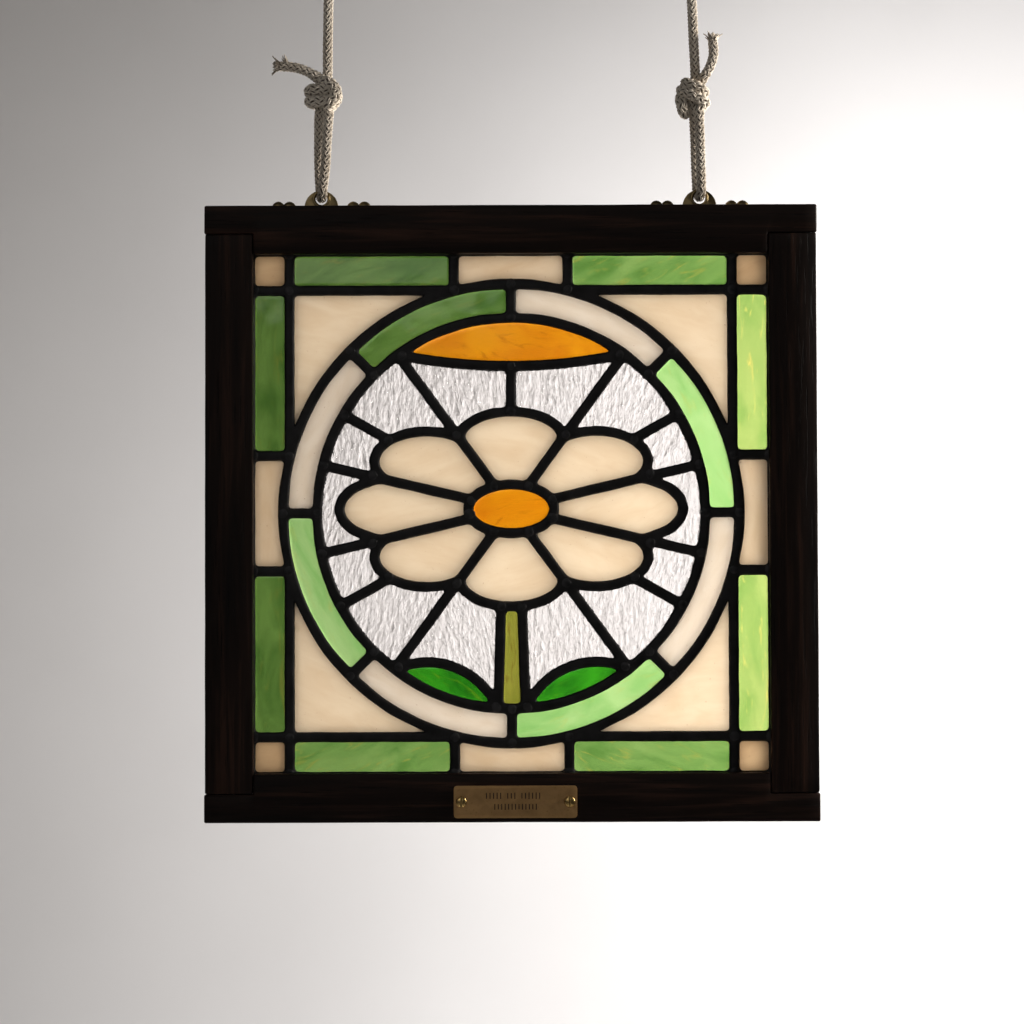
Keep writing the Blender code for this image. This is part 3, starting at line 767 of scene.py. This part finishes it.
# %% Lead net
came_round = 1.55 * mm
curve = bpy.data.curves.new("came_net", "CURVE")
curve.dimensions = "2D"
curve.fill_mode = "BOTH"
curve.bevel_depth = came_round
curve.bevel_resolution = 3
curve.offset = -came_round
curve.extrude = (came_back - came_front) / 2 - came_round
for outline in [list(edge_loop)] + [w[0] for w in windows]:
    spline = curve.splines.new("POLY")
    spline.points.add(len(outline) - 1)
    for point, place in zip(spline.points, outline):
        point.co = (place.x, place.y, 0, 1)
    spline.use_cyclic_u = True
net = bpy.data.objects.new("came_net", curve)
bpy.context.scene.collection.objects.link(net)
net.rotation_euler = (math.pi / 2, 0, 0)
net.location = (0, (came_front + came_back) / 2, 0)
alone(net)
bpy.ops.object.convert(target="MESH")
bpy.ops.object.transform_apply(location=True, rotation=True, scale=True)
net = bpy.context.view_layer.objects.active
with editing(net):
    bpy.ops.mesh.remove_doubles(threshold=0.000002)
    bpy.ops.mesh.normals_make_consistent(inside=False)
print("the net has", len(net.data.polygons), "faces")

# %% [markdown]
# Where leads meet, a drop of solder holds them. Each sharp corner of a window points at its joint, so the
# corners give the places: stepping out along the bisector by half a lead's width. Corners that
# point at the same place are one joint. A flattened ball, dented by noise, is the drop.

# %% Solder joints
joint_reach = 3.4 * mm
joint_gap = 4.5 * mm
joint_room = 1.7 * mm


def clearance(place, windows):
    """How far a place on the net is from the nearest window, or 0 inside one."""
    nearest = 1.0
    for outline, _ in windows:
        inside = False
        for p, q in zip(outline, outline[1:] + outline[:1]):
            nearest = min(nearest, (p - place).length)
            if (p.y > place.y) != (q.y > place.y):
                if place.x < p.x + (q.x - p.x) * (place.y - p.y) / (q.y - p.y):
                    inside = not inside
        if inside:
            return 0.0
    return nearest


def joints_of(windows):
    """Places where the corners of two or more windows point."""
    found = []
    for outline, corners in windows:
        middle = sum((Vector(p) for p in outline), Vector((0, 0))) / len(outline)
        for i, corner in enumerate(corners):
            nearest = sorted(outline, key=lambda p: (p - corner).length)[:9]
            inward = sum(((p - corner) for p in nearest), Vector((0, 0)))
            if inward.length < 1e-6:
                inward = middle - corner
            found.append(corner - inward.normalized() * joint_reach)
    groups = []
    for place in found:
        for group in groups:
            if (sum(group, Vector((0, 0))) / len(group) - place).length < joint_gap:
                group.append(place)
                break
        else:
            groups.append([place])
    middles = [sum(group, Vector((0, 0))) / len(group) for group in groups if len(group) > 1]
    return [place for place in middles if clearance(place, windows) > joint_room]


joints = joints_of(windows)
sight_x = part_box("frame_stile_right")[0].x
sight_top, sight_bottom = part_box("frame_rail_top")[0].z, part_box("frame_rail_bottom")[1].z
edge_sink = 0.2 * mm
dice = random.Random(5)
drops = []
for place in joints:
    for face, out in ((came_front, -1), (came_back, 1)):
        size = dice.uniform(2.35, 2.65) * mm
        drop_x = max(-sight_x - edge_sink, min(sight_x + edge_sink, place.x))
        drop_z = max(sight_bottom - edge_sink, min(sight_top + edge_sink, place.y))
        bpy.ops.mesh.primitive_uv_sphere_add(segments=18, ring_count=10, radius=1)
        drop = bpy.context.view_layer.objects.active
        drop.scale = (size, 0.62 * mm, size * dice.uniform(0.92, 1.12))
        drop.rotation_euler = (0, dice.uniform(0, math.pi), 0)
        drop.location = (drop_x, face - out * 0.22 * mm, drop_z)
        drops.append(drop)
solder = joined("solder_joints", drops)
for vertex in solder.data.vertices:
    lump = noise.noise(vertex.co * 420) * 0.20 + noise.noise(vertex.co * 1100) * 0.08
    vertex.co += vertex.normal.copy() * lump * mm
print(len(joints), "soldered joints on each face")

# %% [markdown]
# Old lead is nearly black, darker still with patina, and only its high edges shine a little. Solder is
# smoother and a shade lighter.

# %% Lead and solder finishes
lead = Finish("Lead", Metallic=0.55, Specular_IOR_Level=0.4)
cloud = lead.noise(lead.place(), 130, 5)
fine = lead.noise(lead.place(), 1400, 3)
lead.set("Base Color", lead.ramp(cloud, (0.30, (0.0065, 0.0062, 0.0065)), (0.75, (0.022, 0.021, 0.022))))
lead.set("Roughness", 0.40 + cloud * 0.30)
lead.bump(cloud * 0.7 + fine * 0.3, 0.35, 0.0004)
finishes["lead"] = lead

tin = Finish("Solder", Metallic=0.7, Specular_IOR_Level=0.5)
cloud = tin.noise(tin.place(), 260, 4)
tin.set("Base Color", tin.ramp(cloud, (0.30, (0.012, 0.012, 0.0125)), (0.75, (0.045, 0.044, 0.046))))
tin.set("Roughness", 0.32 + cloud * 0.35)
tin.bump(cloud, 0.4, 0.0004)
finishes["solder"] = tin

finished(net, "lead", ["came_lattice"], 50)
finished(solder, "solder", (), 60)

# %% [markdown]
# Hand-rolled glass is never flat. Each pane is a copy of its solid, rebuilt in small even faces and then
# dented: gently for the coloured glass, in fine upright ripples for the clear. Its UV map lies along the
# pane's length, so that streaks follow it, and starts at a place of its own, so that no two match. The
# green glass comes in four shades. The light green of the ring is a glass of its own. The darker green
# at the upper left and the far left is painted shade. The paler, yellower green at the right is partly
# the glass's own yellow and partly painted light.

# %% Making panes
def pane_copy(node, name, cut=None):
    """A pane's solid as a closed mesh, kept on one side of a cut if there is one."""
    piece = copy_of(node, name)
    if cut:
        with editing(piece):
            bpy.ops.mesh.bisect(plane_co=cut[0], plane_no=cut[1], use_fill=True, clear_outer=True)
    return piece


def finely(piece, size):
    return modify(piece, "REMESH", mode="VOXEL", voxel_size=size)


def streak_map(piece, angle, offset):
    """UVs in metres, turned so that U runs along the streaks."""
    layer = piece.data.uv_layers.get("UVMap") or piece.data.uv_layers.new(name="UVMap")
    places = np.zeros(len(piece.data.vertices) * 3)
    piece.data.vertices.foreach_get("co", places)
    places = places.reshape(-1, 3)
    corners = np.zeros(len(piece.data.loops), int)
    piece.data.loops.foreach_get("vertex_index", corners)
    u = places[:, 0] * math.cos(angle) + places[:, 2] * math.sin(angle) + offset[0]
    v = places[:, 2] * math.cos(angle) - places[:, 0] * math.sin(angle) + offset[1]
    layer.data.foreach_set("uv", np.stack([u, v], 1)[corners].ravel())


def dent(piece, angle, seed, waves):
    """Moves the faces in and out. Each wave is a length along, a length across and a height."""
    low = min(v.co.y for v in piece.data.vertices)
    high = max(v.co.y for v in piece.data.vertices)
    middle = (low + high) / 2
    for vertex in piece.data.vertices:
        x, y, z = vertex.co
        share = (y - middle) / (high - middle)
        along = x * math.cos(angle) + z * math.sin(angle)
        across = z * math.cos(angle) - x * math.sin(angle)
        shift = 0.0
        for number, (length, width, height) in enumerate(waves):
            face = seed + 11 * number + (5 if share > 0 else 0)
            shift += height * noise.noise(Vector((along / length, across / width, face)))
        vertex.co.y += shift * abs(share)


pane_dice = random.Random(21)
gentle = ((26 * mm, 18 * mm, 0.16 * mm), (9 * mm, 7 * mm, 0.05 * mm))
coloured = {
    "tan": ["corner_square"],
    "sand": ["border_block"],
    "cream": ["spandrel", "petal"],
    "green": ["border_strip"],
    "leaf": ["leaf"],
    "olive": ["flower_stem"],
    "amber": ["flower_eye", "amber_cap"],
}
streaks = {
    "border_strip_left": 90, "border_strip_right": 90, "flower_stem": 90, "border_block_left": 90,
    "border_block_right": 90, "leaf_left": 145, "leaf_right": 35,
}
names = sorted(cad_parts)
far_side = 100 * mm
kind_of = {}
for name in names:
    for kind, starts in coloured.items():
        if any(name.startswith(start) for start in starts):
            kind_of[name] = kind
    low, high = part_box(name)
    middle = (low + high) / 2 - panel_middle
    if name.startswith("ring_piece"):
        kind_of[name] = "light green" if int(name.split("_")[-1]) % 2 else "pale cream"
    # Painted light: green strips on the right get a lit, paler and yellower copy of the green, though part of
    # the yellow is the glass's own.
    if kind_of.get(name) == "green" and middle.x > far_side:
        kind_of[name] = "lit yellowish green"
    # Painted shade: green and light green panes at the upper left and the far left get a shaded, darker copy
    # of the green.
    upper_left = middle.x < 0 < middle.z and abs(middle.z) > abs(middle.x)
    if kind_of.get(name) in ("green", "light green") and (upper_left or middle.x < -far_side):
        kind_of[name] = "deep green"
for name, kind in kind_of.items():
    low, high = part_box(name)
    angle = next((a for start, a in streaks.items() if name.startswith(start)), None)
    if name.startswith("ring_piece"):
        angle = 45 * int(name.split("_")[-1]) - 22.5 + 90
    if angle is None:
        angle = pane_dice.uniform(-25, 25)
    angle = math.radians(angle)
    piece = finely(pane_copy(name, f"{name}_glass"), 1.2 * mm)
    dent(piece, angle, pane_dice.uniform(0, 90), gentle)
    streak_map(piece, angle, (pane_dice.uniform(0, 9), pane_dice.uniform(0, 9)))
print(len(kind_of), "coloured panes")

# %% [markdown]
# The clear panes are rippled glass. Five of them have a lead line across in the net, where the real panel
# has two panes, so those are cut along that line. The line runs out from the middle of the flower.

# %% Clear panes
ripple_voxel = 0.55 * mm
ripples = ((6.5 * mm, 1.7 * mm, 0.34 * mm), (2.8 * mm, 1.1 * mm, 0.16 * mm), (20 * mm, 14 * mm, 0.20 * mm))
heart_half = 0.9 * mm
eye_low, eye_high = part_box("flower_eye")
flower_middle = (eye_low + eye_high) / 2
pane_inset = 0.9 * mm
flower_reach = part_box("petal_1")[1].x + pane_inset
flower_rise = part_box("petal_3")[1].z + pane_inset - flower_middle.z
clear_panes = []
for name in [n for n in names if n.startswith("clear_pane")]:
    number = int(name.split("_")[2])
    halves = {"": None}
    if number in (2, 3, 4, 6, 8):
        turn = math.radians(45 * (number - 1))
        ray = Vector((flower_reach * math.cos(turn), 0, flower_rise * math.sin(turn))).normalized()
        aside = Vector((ray.z, 0, -ray.x))
        halves = {
            "_first": (flower_middle + aside * heart_half, -aside),
            "_second": (flower_middle - aside * heart_half, aside),
        }
    for ending, cut in halves.items():
        piece = finely(pane_copy(name, f"{name}{ending}_glass", cut), ripple_voxel)
        angle = math.radians(90 + pane_dice.uniform(-16, 16))
        dent(piece, angle, pane_dice.uniform(0, 90), ripples)
        streak_map(piece, angle, (pane_dice.uniform(0, 9), pane_dice.uniform(0, 9)))
        clear_panes.append((piece, name))
print(len(clear_panes), "clear panes, the largest with",
      max(len(p.data.polygons) for p, _ in clear_panes), "faces")

# %% [markdown]
# Four kinds of glass, four ways for light to come through. The cream is opal: it scatters light,
# so a translucent shader is mixed in, and it glows where it is lit from behind. The green, leaf and
# amber are see-through, with streaks of deeper colour. The clear glass is plain, and its ripples bend
# the light. Greyer lines painted along the ridges of the ripples are painted shade.

# %% Glass finishes
def make_opal(name, light, deep, shade):
    """Scattering glass, with faint clouds."""
    glass = Finish(name, Roughness=0.16, Specular_IOR_Level=0.5)
    cloud = glass.noise(glass.place((1, 2.6, 1), "UV"), 42, 4, 0.8)
    wisp = glass.noise(glass.place((1, 5, 1), "UV"), 110, 3, 0.4)
    tone = glass.ramp(cloud * 0.8 + wisp * 0.2, (0.30, deep), (0.62, light))
    speck = glass.noise(glass.place(), 900, 2).between(0.735, 0.77)
    tone = glass.mix(speck * 0.45, tone, shade)
    glass.set("Base Color", tone)
    through = glass.node("ShaderNodeBsdfTranslucent", {}, {"Color": tone})
    shader = Wire(glass, glass.shader.outputs[0])
    mixed = glass.node("ShaderNodeMixShader", {}, {0: 0.82, 1: shader, 2: through})
    glass.tree.links.new(mixed.socket, glass.output.inputs["Surface"])
    return glass


def make_streaky(name, light, deep, wisp_colour, rough, stretch, amount=1.0):
    """See-through coloured glass with streaks along U."""
    glass = Finish(name, Roughness=rough, Transmission_Weight=1.0, IOR=1.5)
    body = glass.noise(glass.place((1, stretch, 1), "UV"), 30, 3, 0.7)
    wisp = glass.noise(glass.place((1, stretch * 1.6, 1), "UV"), 55, 5, 1.6).between(0.56, 0.74)
    seeds = glass.noise(glass.place(), 1100, 1).between(0.76, 0.79)
    tone = glass.ramp(body, (0.32, deep), (0.66, light))
    tone = glass.mix(wisp * amount, tone, wisp_colour)
    glass.set("Base Color", glass.mix(seeds * 0.6, tone, wisp_colour))
    return glass


finishes["cream"] = make_opal("Cream glass", (0.93, 0.83, 0.69), (0.86, 0.74, 0.59), (0.45, 0.28, 0.16))
finishes["pale cream"] = make_opal("Pale cream glass", (0.93, 0.86, 0.77), (0.86, 0.77, 0.66),
                                   (0.45, 0.30, 0.20))
finishes["sand"] = make_opal("Sand glass", (0.89, 0.78, 0.64), (0.81, 0.68, 0.52), (0.42, 0.25, 0.13))
finishes["tan"] = make_opal("Tan glass", (0.78, 0.64, 0.47), (0.68, 0.53, 0.37), (0.34, 0.19, 0.10))
finishes["green"] = make_streaky("Green glass", (0.27, 0.46, 0.12), (0.14, 0.32, 0.06),
                                 (0.42, 0.42, 0.07), 0.06, 3.0, 0.75)
# The shaded and lit copies of the green: painted shade at the left, and painted light with some real yellow
# at the right.
finishes["deep green"] = make_streaky("Shaded green glass", (0.16, 0.30, 0.06), (0.08, 0.19, 0.03),
                                      (0.24, 0.26, 0.04), 0.06, 3.0, 0.6)
finishes["lit yellowish green"] = make_streaky("Lit yellowish green glass", (0.50, 0.66, 0.18), (0.32, 0.54, 0.12),
                                        (0.85, 0.76, 0.18), 0.06, 3.0, 0.9)
finishes["light green"] = make_streaky("Light green glass", (0.50, 0.80, 0.29), (0.32, 0.66, 0.18),
                                       (0.58, 0.66, 0.16), 0.06, 2.4, 0.45)
finishes["leaf"] = make_streaky("Leaf glass", (0.05, 0.42, 0.014), (0.014, 0.17, 0.007),
                                (0.16, 0.34, 0.01), 0.10, 2.4, 0.6)
finishes["olive"] = make_streaky("Olive glass", (0.36, 0.35, 0.05), (0.22, 0.24, 0.025),
                                 (0.22, 0.15, 0.015), 0.10, 2.4, 0.6)
finishes["amber"] = make_streaky("Amber glass", (0.92, 0.36, 0.004), (0.80, 0.24, 0.002),
                                 (0.50, 0.13, 0.001), 0.20, 2.2, 0.5)
clear = Finish("Clear glass", Roughness=0.0, Transmission_Weight=1.0, IOR=1.5)
crinkle = clear.noise(clear.place((1, 2.8, 1), "UV"), 260, 3, 1.2)
# Painted shade: greyer lines along the ridges of the ripples, standing in for the dark streaks that the
# ripples show.
crest_painted_shade = crinkle.between(0.52, 0.62)
clear.set("Base Color", clear.mix(crest_painted_shade * 0.5, (0.96, 0.93, 0.915), (0.70, 0.67, 0.65)))
clear.bump(crinkle, 1.0, 0.0006)
finishes["clear"] = clear
for name, kind in kind_of.items():
    finished(bpy.data.objects[f"{name}_glass"], kind, [name], 50)
for piece, node in clear_panes:
    finished(piece, "clear", [node], 60)
print("glass finishes:", ", ".join(sorted(k for k in finishes)))

# %% [markdown]
# The brass plate is screwed to the bottom rail by two domed screws with a slot. Its two lines of
# engraving are rows of plain strokes, cut a little into the metal and filled dark. The plate's edge
# is bevelled, which catches a bright line of light.

# %% Name plate
plate_low, plate_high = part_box("name_plate")
plate_middle = (plate_low + plate_high) / 2
plate = copy_of("name_plate", "name_plate_brass")
modify(plate, "BEVEL", width=0.25 * mm, segments=3, limit_method="ANGLE", angle_limit=math.radians(50))


def bar(name, middle, size, lean=0.0):
    """A small box with its place and lean applied."""
    bpy.ops.object.select_all(action="DESELECT")
    bpy.ops.mesh.primitive_cube_add(size=1, location=middle, rotation=(0, lean, 0), scale=size)
    made = bpy.context.view_layer.objects.active
    made.name = name
    return made


stroke_rows = (
    {"x": (-14.3, 11.9), "z": 3.0, "height": 3.3, "gap": 1.75, "skip": (5, 9)},
    {"x": (-10.2, 10.2), "z": -2.4, "height": 3.1, "gap": 1.75, "skip": ()},
)
stroke_width = 0.5 * mm
stroke_depth = 0.25 * mm
stroke_dice = random.Random(3)
cuts, fills = [], []
for row in stroke_rows:
    first, last = row["x"]
    count = round((last - first) / row["gap"])
    for i in range(count + 1):
        if i in row["skip"]:
            continue
        x = plate_middle.x + (first + (last - first) * i / count) * mm
        z = plate_middle.z + row["z"] * mm
        height = row["height"] * mm * stroke_dice.uniform(0.82, 1.0)
        cuts.append(bar("stroke", (x, plate_low.y, z), (stroke_width, 2 * stroke_depth, height)))
        fills.append(bar("fill", (x, plate_low.y + stroke_depth, z),
                         (stroke_width * 0.98, 0.12 * mm, height * 0.99)))
cutter = joined("stroke_cutter", cuts)
modify(plate, "BOOLEAN", object=cutter, operation="DIFFERENCE", solver="EXACT")
bpy.data.objects.remove(cutter)
fill = joined("plate_strokes", fills)
print(len(fill.data.polygons) // 6, "strokes on the plate")

# %% [markdown]
# One slotted screw is modelled and copied. A sphere's cap makes the dome: the ball is sliced flat behind,
# the slot is a bar taken out of it, and a bevel softens the cut.

# %% Slotted screws
def screw(name, middle, radius, rise, slot_lean, out=-1):
    """A domed screw head with its flat side at middle, facing along out."""
    bpy.ops.object.select_all(action="DESELECT")
    bpy.ops.mesh.primitive_uv_sphere_add(segments=40, ring_count=20, radius=1, location=middle)
    head = bpy.context.view_layer.objects.active
    head.name = name
    head.scale = (radius, rise, radius)
    bpy.ops.object.transform_apply(location=True, rotation=True, scale=True)
    with editing(head):
        bpy.ops.mesh.bisect(plane_co=middle, plane_no=(0, -out, 0), use_fill=True, clear_outer=True)
    slot_bar = bar("slot", (middle[0], middle[1] + out * rise, middle[2]),
                   (0.18 * 2 * radius, 1.3 * rise, 2.6 * radius), slot_lean)
    bpy.ops.object.transform_apply(location=True, rotation=True, scale=True)
    modify(head, "BOOLEAN", object=slot_bar, operation="DIFFERENCE", solver="EXACT")
    bpy.data.objects.remove(slot_bar)
    modify(head, "BEVEL", width=0.07 * mm, segments=2, limit_method="ANGLE", angle_limit=math.radians(50))
    return head


screw_inset = 3.7 * mm
plate_screws = []
for side, lean in ((-1, math.radians(4)), (1, math.radians(-7))):
    middle = (plate_middle.x + side * ((plate_high.x - plate_low.x) / 2 - screw_inset),
              plate_low.y + 0.02 * mm, plate_middle.z)
    plate_screws.append(screw(f"plate_screw_{'left' if side < 0 else 'right'}", middle, 2.8 * mm,
                              1.3 * mm, lean))
print("screws at", [round(s.data.vertices[0].co.x, 4) for s in plate_screws])

# %% [markdown]
# A hanger is cast brass: a half-round lug with a rolled rim round its hole, two beads on each side and
# a body that is screwed to the back of the rail. The solid has the outline. Here its edges are rounded,
# the beads become balls, a ring makes the rim, and three screws hold the body.

# %% Hangers
hanger_screws = ((-10.0, -5.0), (10.0, -5.0), (0.0, -13.0))
bead_places = (16.1 * mm, 21.7 * mm)
bead_rise = 1.9 * mm
hangers = []
for side_name in ("left", "right"):
    node = f"hanger_{side_name}"
    low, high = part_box(node)
    middle_x, middle_y = (low.x + high.x) / 2, (low.y + high.y) / 2
    body = copy_of(node, "hanger_body")
    modify(body, "BEVEL", width=0.35 * mm, segments=3, limit_method="ANGLE", angle_limit=math.radians(40))
    parts = [body]
    bpy.ops.object.select_all(action="DESELECT")
    rim_place = (middle_x, middle_y, frame_top + lug_hole_rise)
    bpy.ops.mesh.primitive_torus_add(major_segments=48, minor_segments=14, location=rim_place,
                                     rotation=(math.pi / 2, 0, 0), major_radius=lug_hole_radius + 0.75 * mm,
                                     minor_radius=0.95 * mm)
    rim = bpy.context.view_layer.objects.active
    rim.scale = (1, 1, 1.15)
    parts.append(rim)
    for side in (-1, 1):
        for place in bead_places:
            bpy.ops.mesh.primitive_uv_sphere_add(segments=32, ring_count=16, radius=2.85 * mm)
            bead = bpy.context.view_layer.objects.active
            bead.scale = (1.12, 0.66, 1)
            bead.location = (middle_x + side * place, middle_y, frame_top + bead_rise)
            parts.append(bead)
    hanger = joined(f"{node}_brass", parts)
    hangers.append((hanger, node))
    for i, (x, z) in enumerate(hanger_screws):
        head = screw(f"{node}_screw_{i + 1}", (middle_x + x * mm, high.y - 0.02 * mm, frame_top + z * mm),
                     2.3 * mm, 0.9 * mm, math.radians(37 * i + 20), out=1)
        hangers.append((head, None))
print(len(hangers), "hanger pieces")

# %% [markdown]
# Aged brass is dull brown with brighter rubbed edges. Noise spreads the tarnish, and Geometry's pointiness
# finds the edges, because hands and polish reach them first.

# %% Brass finishes
def make_brass(name, dull, bright, rough, scratches, metal=1.0):
    brass = Finish(name, Metallic=metal)
    cloud = brass.noise(brass.place(), 210, 5, 0.5)
    spots = brass.noise(brass.place(), 900, 3).between(0.58, 0.78)
    rub = brass.noise(brass.place((1, 1, 14)), 300, 3) if scratches else cloud
    edge = brass.node("ShaderNodeNewGeometry", out="Pointiness").between(0.505, 0.56)
    tone = brass.ramp(cloud, (0.30, dull), (0.72, bright))
    tone = brass.mix(spots * 0.4, tone, tuple(0.5 * c for c in dull))
    tone = brass.mix(edge * 0.7, tone, tuple(min(1, 1.5 * c) for c in bright))
    brass.set("Base Color", tone)
    brass.set("Roughness", rough + cloud * 0.22 + spots * 0.12)
    brass.bump(rub * 0.6 + spots * 0.4, 0.25, 0.0002)
    return brass


finishes["plate brass"] = make_brass("Plate brass", (0.36, 0.21, 0.085), (0.47, 0.28, 0.115), 0.36, True, 0.7)
finishes["screw brass"] = make_brass("Screw brass", (0.36, 0.23, 0.08), (0.62, 0.43, 0.17), 0.16, False)
finishes["hanger brass"] = make_brass("Hanger brass", (0.085, 0.062, 0.030), (0.19, 0.14, 0.068), 0.24, False)
fill_finish = Finish("Stroke fill", Roughness=0.8, Base_Color=(0.012, 0.010, 0.008, 1))
fill_finish.bump(fill_finish.noise(fill_finish.place(), 2000, 2), 0.3, 0.0001)
finishes["stroke fill"] = fill_finish
finished(plate, "plate brass", ["name_plate"], 12)
finished(fill, "stroke fill")
for head in plate_screws:
    finished(head, "screw brass", (), 35)
for piece, node in hangers:
    finished(piece, "hanger brass" if node else "screw brass", [node] if node else (), 40)
print("brass on", 1 + len(plate_screws) + len(hangers), "pieces")

# %% [markdown]
# The light in the photograph comes from behind: a pale wall, brighter to the lower right, shines through
# the glass. A floor that sweeps up into a wall is the stage. It stands well back, so that a camera
# can pass between it and the panel. One wash of light makes the wall brighter on one side, two glows
# light the glass from behind, a rim light picks out the ropes, and a weak one fills the front. The glows
# aren't mirrored, or the smooth back of the glass would show them as white patches.

# %% Stage and light
floor_z = -1.30
wall_y = 2.3
stage_wide = 12
stage_long = 9.0
stage_front = 4.0
bpy.ops.object.select_all(action="DESELECT")
bpy.ops.mesh.primitive_grid_add(x_subdivisions=2, y_subdivisions=60, size=1)
sweep = bpy.context.view_layer.objects.active
sweep.name = "floor_and_wall"
bend_radius = 0.7
for vertex in sweep.data.vertices:
    x, y, _ = vertex.co
    walked = (y + 0.5) * stage_long
    flat = wall_y - bend_radius + stage_front
    arc = bend_radius * math.pi / 2
    if walked < flat:
        vertex.co = (x * stage_wide, walked - stage_front, floor_z)
    elif walked < flat + arc:
        turn = (walked - flat) / bend_radius
        vertex.co = (x * stage_wide, wall_y - bend_radius + bend_radius * math.sin(turn),
                     floor_z + bend_radius * (1 - math.cos(turn)))
    else:
        vertex.co = (x * stage_wide, wall_y, floor_z + bend_radius + walked - flat - arc)
alone(sweep)
bpy.ops.object.shade_smooth()
paper = Finish("Pale floor", Roughness=0.9, Specular_IOR_Level=0.1)
paper.set("Base Color", paper.ramp(paper.noise(paper.place(), 3, 2), (0.3, (0.74, 0.725, 0.72)),
                                   (0.7, (0.78, 0.765, 0.76))))
sweep.data.materials.append(paper.material)


def area_light(name, place, aim, size, watts, colour, mirrored=True):
    data = bpy.data.lights.new(name, "AREA")
    data.shape = "RECTANGLE"
    data.size, data.size_y = size
    data.energy = watts
    data.color = colour
    light = bpy.data.objects.new(name, data)
    light.location = place
    light.rotation_euler = (Vector(aim) - Vector(place)).to_track_quat("-Z", "Y").to_euler()
    light.visible_camera = False
    light.visible_transmission = False
    light.visible_glossy = mirrored
    bpy.context.scene.collection.objects.link(light)
    return light


area_light("Wall wash", (0.72, 1.09, -0.03), (1.15, wall_y, -1.02), (0.9, 0.9), 34, (1, 0.985, 0.975), False)
area_light("Glass glow", (0.2, 0.9, -0.4), (0, 0, -0.3), (0.9, 0.8), 1.2, (1, 0.985, 0.97), False)
area_light("Near glow", (0.36, 0.34, -0.45), (0.05, 0, -0.33), (0.3, 0.3), 4.6, (1, 0.98, 0.95), False)
area_light("Rope rim", (1.0, 0.02, 0.05), (0, 0, -0.08), (0.4, 0.4), 22, (1, 0.95, 0.88))
area_light("Front fill", (-0.7, -1.9, 0.6), (0, 0, -0.3), (1.6, 1.2), 5, (1, 0.98, 0.96))

world = bpy.data.worlds.new("Studio")
bpy.context.scene.world = world
world.use_nodes = True
world.node_tree.nodes["Background"].inputs["Color"].default_value = (0.80, 0.79, 0.79, 1)
world.node_tree.nodes["Background"].inputs["Strength"].default_value = 0.05
